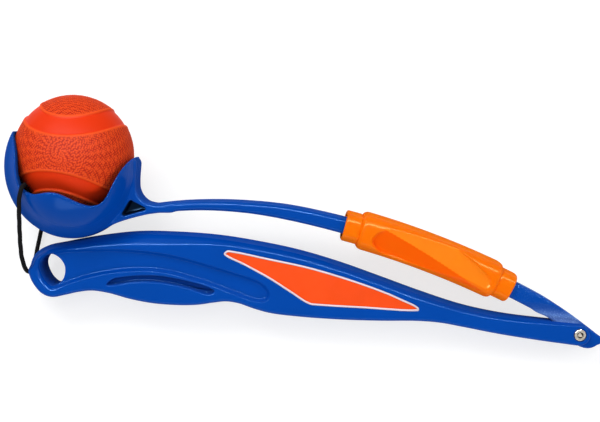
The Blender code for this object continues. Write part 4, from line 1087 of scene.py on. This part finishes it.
def build_sleeve(orange):
    shares = {round(k / SLEEVE_STEPS, 5) for k in range(SLEEVE_STEPS + 1)}
    for c, _ in round_steps(7):
        end = COLLAR * COLLAR_LIP * c
        rise = COLLAR * (1 + COLLAR_RISE * c)
        shares |= {round(v, 6) for v in (end, 1 - end, rise, 1 - rise)}
    centre = front_arc_centre()
    outer, inner, marks = [], [], {}
    bore_depth = ARM_HALF_DEPTH + RUN_GAP + TOUCH_GAP * 0.2
    section = even_section(SLEEVE_SQUARENESS, SLEEVE_SIDES)
    for share in sorted(shares):
        mid = front_arc_point(SLEEVE_START + SLEEVE_LENGTH * share)
        up = (mid - centre).normalized()
        height, depth = sleeve_size(share)
        ring = []
        for v, w in section:
            face = ease((abs(w) - 0.45) / 0.25)
            sunk, low, high = sleeve_scoop(share, v, depth * abs(w))
            d = depth * w - math.copysign(sunk * face, w)
            ring.append((mid[0] + up[0] * height * v, mid[1] + up[1] * height * v, d))
            marks[rounded_spot(ring[-1])] = (low * face, high * face)
        outer.append(ring)
    hole = rounded_box(SLEEVE_BORE_HALF_HEIGHT, bore_depth, ARM_ROUND, SLEEVE_SIDES // 4 - 1)
    for k in range(9):
        mid = front_arc_point(SLEEVE_START + SLEEVE_LENGTH * k / 8)
        inner.append(section_ring(mid, (mid - centre).normalized(), hole))
    rings = outer + list(reversed(inner))
    mesh = skin("sleeve", rings, closed=True, smooth=math.radians(50.0))
    sleeve = place("sliding_sleeve", mesh, orange)
    # The hollow and facet marks carry the sleeve's painted shade and painted light
    hollow, facet = zip(*[marks.get(rounded_spot(vert.co), (0.0, 0.0)) for vert in mesh.vertices])
    store(mesh, hollow=hollow, facet=facet)
    dress(sleeve, "sleeve", "lock_sleeve")


# Hinge screw
def build_pivot(steel):
    seat = GRIP_HALF_DEPTH_AT_HINGE - HEAD_POCKET_DEPTH + TOUCH_GAP
    top = seat + SCREW_HEAD_DEPTH
    shank_end = -GRIP_HALF_DEPTH_AT_HINGE + HEAD_POCKET_DEPTH + TOUCH_GAP * 2
    soft = SCREW_HEAD_DEPTH * 0.3

    def head(sign):
        """The head's rounded edge, from the middle of its top to its seat."""
        edge = [(SCREW_HEAD_RADIUS - soft * s, sign * (top - soft * c)) for c, s in round_steps(5)]
        return [(0.0, sign * top)] + edge + [(SCREW_HEAD_RADIUS, sign * seat)]

    screw = place("hinge_screw", lathe_mesh("hinge_screw", head(1) + [
        (SCREW_SHANK_RADIUS, seat), (SCREW_SHANK_RADIUS, shank_end), (0.0, shank_end)]), steel)
    cut(screw, [cylinder_mesh("cut_socket", SOCKET_RADIUS, top - SOCKET_DEPTH, top + OVERRUN, 6),
                cylinder_mesh("cut_centre", SOCKET_RADIUS * 0.45, top - SOCKET_DEPTH * 1.3,
                              top + OVERRUN, 24)])
    bore = SCREW_SHANK_RADIUS + TOUCH_GAP
    end = seat - TOUCH_GAP * 2
    barrel = place("hinge_barrel", lathe_mesh("hinge_barrel", head(-1) + [
        (BARREL_RADIUS, -seat), (BARREL_RADIUS, end), (bore, end), (bore, shank_end - TOUCH_GAP),
        (0.0, shank_end - TOUCH_GAP)]), steel)
    for obj, node in ((screw, "pivot_screw"), (barrel, "pivot_barrel")):
        # Painted shade mark: points in a ring round the socket's walls, below half its depth, are
        # darkened; the socket's centre stays bright
        dark = []
        for vert in obj.data.vertices:
            reach = math.hypot(vert.co[0], vert.co[1])
            inside = SOCKET_RADIUS * 0.5 < reach < SOCKET_RADIUS * 1.1
            dark.append(1.0 if inside and vert.co[2] < top - SOCKET_DEPTH * 0.5 else 0.0)
        store(obj.data, grime=dark)
        crease(obj.data, math.radians(30.0))
        dress(obj, "handle", node)


# Ball
def band_point(t):
    """The line of a tennis ball's seam on a unit ball, turned as the shown ball lies."""
    a = 1 / (1 + BAND_WAVE)
    b = BAND_WAVE * a
    point = Vector((a * math.cos(t) + b * math.cos(3 * t), a * math.sin(t) - b * math.sin(3 * t),
                    2 * math.sqrt(a * b) * math.sin(2 * t)))
    for axis, degrees in BAND_TURNS:
        point.rotate(Matrix.Rotation(math.radians(degrees), 3, axis))
    return point.normalized()


def sphere_points(count):
    """Evenly spread directions."""
    golden = math.pi * (3 - math.sqrt(5))
    for k in range(count):
        z = 1 - (2 * k + 1) / count
        r = math.sqrt(1 - z * z)
        yield Vector((r * math.cos(golden * k), r * math.sin(golden * k), z))


def build_ball(rubber):
    bx, by = spot(BALL_SHARE)
    line = kdtree.KDTree(BAND_POINTS)
    for k in range(BAND_POINTS):
        line.insert(band_point(2 * math.pi * k / BAND_POINTS) * BALL_RADIUS, k)
    line.balance()
    pebbles = kdtree.KDTree(BALL_PEBBLES)
    for k, way in enumerate(sphere_points(BALL_PEBBLES)):
        shake = Vector([math.sin(k * turn) for turn in SHAKE_TURNS]) * PEBBLE_SHAKE
        pebbles.insert(way * BALL_RADIUS + shake, k)
    pebbles.balance()
    pitch = BALL_RADIUS * math.sqrt(4 * math.pi / BALL_PEBBLES)
    bm = bmesh.new()
    bmesh.ops.create_cube(bm, size=2.0)
    bmesh.ops.subdivide_edges(bm, edges=bm.edges, cuts=BALL_CUTS, use_grid_fill=True)
    half = BALL_BAND_WIDTH / 2
    step = BALL_BAND_WIDTH * BAND_EDGE
    mask, valleys = [], []
    for vert in bm.verts:
        way = Vector([math.tan(value * math.pi / 4) for value in vert.co]).normalized()
        away = line.find(way * BALL_RADIUS)[2]
        inside = ease((half + step * 0.5 - away) / step)
        brow = bell((away - half - step * 1.6) / (step * 1.4))
        lift = -BALL_BAND_DEPTH * inside + BALL_BAND_DEPTH * 0.12 * brow
        spread = min(pebbles.find(way * BALL_RADIUS)[2] / (pitch * PEBBLE_SPREAD), 1.0)
        grained = ease((away - half - step) / (step * 1.5))
        lift += PEBBLE_HEIGHT * (0.5 * math.cos(math.pi * spread) - 0.5) * grained
        mask.append(inside)
        # Painted shade mark: darkest in the valleys between the pebbles
        valleys.append(spread ** 3 * grained)
        vert.co = way * (BALL_RADIUS - TOUCH_GAP * 0.2 + lift)
    mesh = mesh_from("rubber_ball", bm)
    mesh.shade_smooth()
    store(mesh, band=mask, valley=valleys)
    mesh.transform(Matrix.Translation((bx, by, 0.0)))
    dress(place("rubber_ball", mesh, rubber), "ball", "ball")


# Elastic loop
def build_loop(black, crimp):
    """A braided cord on the same route as the CAD loop, its ends meeting in the crimp."""
    route = smooth_loop(scaled(LOOP_SHARES, GRIP_REACH), 14, closed=False)
    up = Vector((0.0, 1.0, 0.0))
    rings, run = [], 0.0
    for i, p in enumerate(route):
        ahead = (route[min(i + 1, len(route) - 1)] - route[max(i - 1, 0)]).normalized()
        if i:
            run += (p - route[i - 1]).length
        across = (up - ahead * up.dot(ahead)).normalized()
        over = ahead.cross(across)
        up = across
        twist = 2 * math.pi * run / BRAID_PITCH
        ring = []
        for k in range(LOOP_SIDES):
            a = 2 * math.pi * k / LOOP_SIDES
            strand = BRAID_STRANDS / 2 * a
            weave = max(math.cos(strand + twist), math.cos(strand - twist))
            reach = LOOP_RADIUS * (0.93 + 0.07 * weave)
            ring.append(p + across * math.cos(a) * reach + over * math.sin(a) * reach)
        rings.append(ring)
    loop = place("elastic_loop", skin("elastic_loop", rings, smooth=math.radians(60.0)), black)
    dress(loop, "arm", "hold_loop")
    start, half = route[0], FERRULE_LENGTH / 2
    profile = [(LOOP_RADIUS + TOUCH_GAP, -half), (FERRULE_RADIUS * 0.90, -half)]
    profile += [(FERRULE_RADIUS * r, -half * z) for r, z in FERRULE_SHARES]
    profile += [(r, -z) for r, z in reversed(profile)]
    rows = [[(start[0] + r * c, start[1] + r * s, z) for c, s in circle(40)] for r, z in profile]
    sleeve = place("loop_crimp", skin("loop_crimp", rows, closed=True), crimp)
    dress(sleeve, "arm", "loop_ferrule")


# Materials
class Nodes:
    """A node tree, and short calls for the nodes it uses. A value that is fed to a node is a
    number, a colour of three numbers or another node's output."""

    def __init__(self, tree):
        self.tree = tree

    def feed(self, socket, value):
        if isinstance(value, bpy.types.NodeSocket):
            self.tree.links.new(value, socket)
        else:
            socket.default_value = (*value, 1.0) if socket.type == "RGBA" else value

    def add(self, kind, inputs=(), **values):
        node = self.tree.nodes.new(kind)
        for key, value in values.items():
            setattr(node, key, value)
        for key, value in dict(inputs).items():
            self.feed(node.inputs[key], value)
        return node

    def spread(self, source, low, high, to_low, to_high):
        node = self.add("ShaderNodeMapRange", {"Value": source, "From Min": low, "From Max": high,
                                               "To Min": to_low, "To Max": to_high})
        return node.outputs["Result"]

    def maths(self, operation, a, b):
        return self.add("ShaderNodeMath", {0: a, 1: b}, operation=operation).outputs["Value"]

    def seen(self):
        """1 for the rays that show something to the camera, straight or in a shine."""
        path = self.add("ShaderNodeLightPath").outputs
        near = self.maths("MAXIMUM", path["Is Camera Ray"], path["Is Glossy Ray"])
        return self.maths("MAXIMUM", near, path["Is Transmission Ray"])


class Shader(Nodes):
    """A material with its Principled shader, whose colour and gloss can drift over fine bumps."""

    def __init__(self, name, colour, roughness, dials=(), drift=(), gloss=(), bumps=()):
        self.mat = bpy.data.materials.new(name)
        self.mat.use_nodes = True
        self.mat.diffuse_color = (*colour, 1.0)
        super().__init__(self.mat.node_tree)
        self.shader = self.tree.nodes["Principled BSDF"]
        for key, value in {"Base Color": colour, "Roughness": roughness, **dict(dials)}.items():
            self.feed(self.shader.inputs[key], value)
        self.coords = self.add("ShaderNodeTexCoord").outputs["Object"]
        if drift:
            self.bare = self.mottle(colour, *drift)
        if gloss:
            self.polish(*gloss)
        if bumps:
            self.under = self.relief(self.noise(*bumps[:2]), *bumps[2:])

    def noise(self, scale, detail):
        node = self.add("ShaderNodeTexNoise", {"Scale": scale, "Detail": detail, "Roughness": 0.5,
                                               "Vector": self.coords})
        return node.outputs["Fac"]

    def cells(self, scale):
        node = self.add("ShaderNodeTexVoronoi", feature="SMOOTH_F1")
        for key, value in (("Scale", scale), ("Smoothness", 0.25), ("Vector", self.coords)):
            self.feed(node.inputs[key], value)
        return node.outputs["Distance"]

    def attribute(self, name):
        return self.add("ShaderNodeAttribute", attribute_name=name).outputs["Fac"]

    def mix(self, factor, a, b):
        """Colours mixed into the base colour; each is three numbers or an earlier mix."""
        node = self.add("ShaderNodeMix", {0: factor}, data_type="RGBA")
        sockets = [item for item in node.inputs if item.type == "RGBA"]
        for socket, value in zip(sockets, (a, b)):
            self.feed(socket, value)
        result = [item for item in node.outputs if item.type == "RGBA"][0]
        self.feed(self.shader.inputs["Base Color"], result)
        return result

    def mottle(self, colour, change, scale):
        """The colour drifts a little over the surface."""
        low = [value * (1 - change) for value in colour]
        high = [value * (1 + change) for value in colour]
        return self.mix(self.spread(self.noise(scale, 2.0), 0.3, 0.7, 0.0, 1.0), low, high)

    def polish(self, low, high, scale, rim=None):
        """The roughness drifts between two values and can rise where the surface turns away."""
        gloss = self.spread(self.noise(scale, 4.0), 0.3, 0.7, low, high)
        if rim is not None:
            facing = self.add("ShaderNodeLayerWeight").outputs["Facing"]
            gloss = self.maths("MAXIMUM", gloss, self.spread(facing, 0.38, 0.72, low, rim))
        self.feed(self.shader.inputs["Roughness"], gloss)

    def relief(self, height, depth, strength=1.0, under=None, sunk=False):
        node = self.add("ShaderNodeBump", {"Strength": strength, "Distance": depth,
                                           "Height": height}, invert=sunk)
        if under is not None:
            self.feed(node.inputs["Normal"], under)
        self.feed(self.shader.inputs["Normal"], node.outputs["Normal"])
        return node.outputs["Normal"]


def plain(name):
    return Shader(name, **LOOKS[name])


def arm_blue():
    """The grip's blue, with a painted highlight that flecks the grain and pales the ramp, and
    painted shade that darkens the neck's pockets.
    """
    s = Shader("moulded_blue_arm", **LOOKS["moulded_blue"])
    near, ramp = s.attribute("grain"), s.attribute("ramp")
    cells = s.cells(1250.0)
    s.relief(s.maths("MULTIPLY", cells, near), 0.00020, 1.0, s.under, sunk=True)
    # Painted highlight: the grain's cell tops, and the whole ramp, are mixed towards a paler blue
    tops = s.spread(cells, 0.10, 0.34, 1.0, 0.0)
    share = s.maths("ADD", s.maths("MULTIPLY", near, 0.05), ramp)
    share = s.maths("ADD", s.maths("MULTIPLY", tops, share), s.maths("MULTIPLY", ramp, 0.55))
    stippled = s.mix(s.maths("MINIMUM", share, 1.0), s.bare, GRAIN_HIGHLIGHT_BLUE)
    # Painted shade: the neck's pockets are darkened nearly to black
    s.mix(s.attribute("pocket"), stippled, POCKET_SHADE_BLUE)
    return s.mat


def sleeve_orange():
    """Orange plastic, with painted light that makes the facet lighter, as it faces the light, and
    painted shade that makes the hollow deeper, as it faces away.
    """
    s = plain("sleeve_orange")
    # Painted light on the facet, then painted shade in the hollow
    bare = s.mix(s.maths("MULTIPLY", s.attribute("facet"), 0.6), s.bare, LIT_FACET_ORANGE)
    s.mix(s.maths("MULTIPLY", s.attribute("hollow"), 0.8), bare, SHADED_HOLLOW_ORANGE)
    return s.mat


def screw_plated():
    s = plain("screw_plated")
    # Painted shade in the socket
    s.mix(s.attribute("grime"), s.bare, SOCKET_SHADE)
    return s.mat


def ball_rubber():
    """Pebbled rubber, smooth and a little darker in the seam bands, with painted shade in the
    valleys between the pebbles.
    """
    s = plain("ball_rubber")
    band = s.attribute("band")
    bare = s.mix(band, PEBBLE_ORANGE, BAND_ORANGE)
    # Painted shade in the valleys between the pebbles
    s.mix(s.attribute("valley"), bare, VALLEY_SHADE_ORANGE)
    s.feed(s.shader.inputs["Roughness"], s.spread(band, 0.0, 1.0, 0.62, 0.50))
    pebbles = s.maths("MULTIPLY", s.cells(980.0), s.maths("SUBTRACT", 1.0, band))
    s.relief(pebbles, 0.00018, 1.0, s.under, sunk=True)
    return s.mat


# Studio
def build_floor():
    bm = bmesh.new()
    bmesh.ops.create_grid(bm, x_segments=1, y_segments=1, size=GRIP_REACH * 12)
    floor = place("studio_floor", mesh_from("studio_floor", bm))
    floor.location = (0.0, 0.0, cad_box[0][2] - TOUCH_GAP * 0.1)
    s = plain("studio_white")
    glow = s.add("ShaderNodeEmission", {"Color": (1.0, 1.0, 1.0),
                                        "Strength": s.maths("MULTIPLY", s.seen(), FLOOR_GLOW)})
    both = s.add("ShaderNodeAddShader", {0: s.shader.outputs["BSDF"], 1: glow.outputs["Emission"]})
    s.feed(s.tree.nodes["Material Output"].inputs["Surface"], both.outputs["Shader"])
    floor.data.materials.append(s.mat)


def build_world():
    world = bpy.data.worlds.new("studio")
    world.use_nodes = True
    sky = Nodes(world.node_tree)
    back = sky.tree.nodes["Background"]
    sky.feed(back.inputs["Color"], (1.0, 1.0, 1.0))
    sky.feed(back.inputs["Strength"], sky.spread(sky.seen(), 0.0, 1.0, SKY_GLOW, 1.0))
    bpy.context.scene.world = world


def build_lamps():
    for name, (spot_at, aim, size, power, gloss_only) in LAMPS.items():
        lamp = bpy.data.lights.new(name, "AREA")
        lamp.shape = "RECTANGLE"
        lamp.size, lamp.size_y = size
        lamp.energy = power
        obj = place(name, lamp)
        obj.visible_diffuse = not gloss_only
        obj.location = spot_at
        toward = Vector(aim) - Vector(spot_at)
        obj.rotation_euler = toward.to_track_quat("-Z", "Y").to_euler()


def build_camera():
    data = bpy.data.cameras.new("photo_camera")
    data.sensor_width = SENSOR_WIDTH
    data.lens = CAMERA_LENS
    data.clip_start = OVERRUN
    camera = place("photo_camera", data)
    turn = Matrix.Rotation(CAMERA_TILT, 4, "X")
    camera.matrix_world = FOLD @ Matrix.Translation(CAMERA_PLACE) @ turn
    bpy.context.scene.camera = camera


def mark_grain(obj):
    """Mark where the arm's moulding is grained: near the hinge, most of all on the ramp, where
    painted highlights fleck and pale it; and where painted shade darkens the neck's pockets.
    """
    back = FOLD.inverted()
    near, ramp, pocket = [], [], []
    window = inset(scaled(NECK_WINDOW_SHARES, 1.0), -WINDOW_MARGIN)
    for vert in obj.data.vertices:
        x, y, z = (value / GRIP_REACH for value in back @ vert.co)
        end = ease((GRAIN_END - x) / GRAIN_END_RUN)
        thin = ease((ARM_HALF_DEPTH * 0.99 / GRIP_REACH - abs(z)) / RAMP_FADE)
        near.append(ease((x - GRAIN_START) / GRAIN_START_RUN) * end)
        ramp.append(thin ** RAMP_CONTRAST * end * ease((x - RAMP_START) / RAMP_START_RUN))
        # Painted shade mark, deep inside the neck's window pockets
        deep = ease((ARM_HALF_DEPTH / GRIP_REACH - abs(z)) / POCKET_FADE - POCKET_LIP)
        pocket.append(deep if encloses(window, x, y) else 0.0)
    store(obj.data, grain=near, ramp=ramp, pocket=pocket)


def main():
    build_grip(plain("moulded_blue").mat)
    build_badge(plain("label_orange").mat, plain("label_silver").mat)
    build_arm(arm_blue())
    mark_grain(bpy.data.objects["arm_and_cup"])
    build_sleeve(sleeve_orange())
    build_pivot(screw_plated())
    build_ball(ball_rubber())
    build_loop(plain("braid_black").mat, plain("crimp_black").mat)
    build_floor()
    build_world()
    build_lamps()
    build_camera()
    bpy.context.scene.view_settings.view_transform = "Standard"


main()
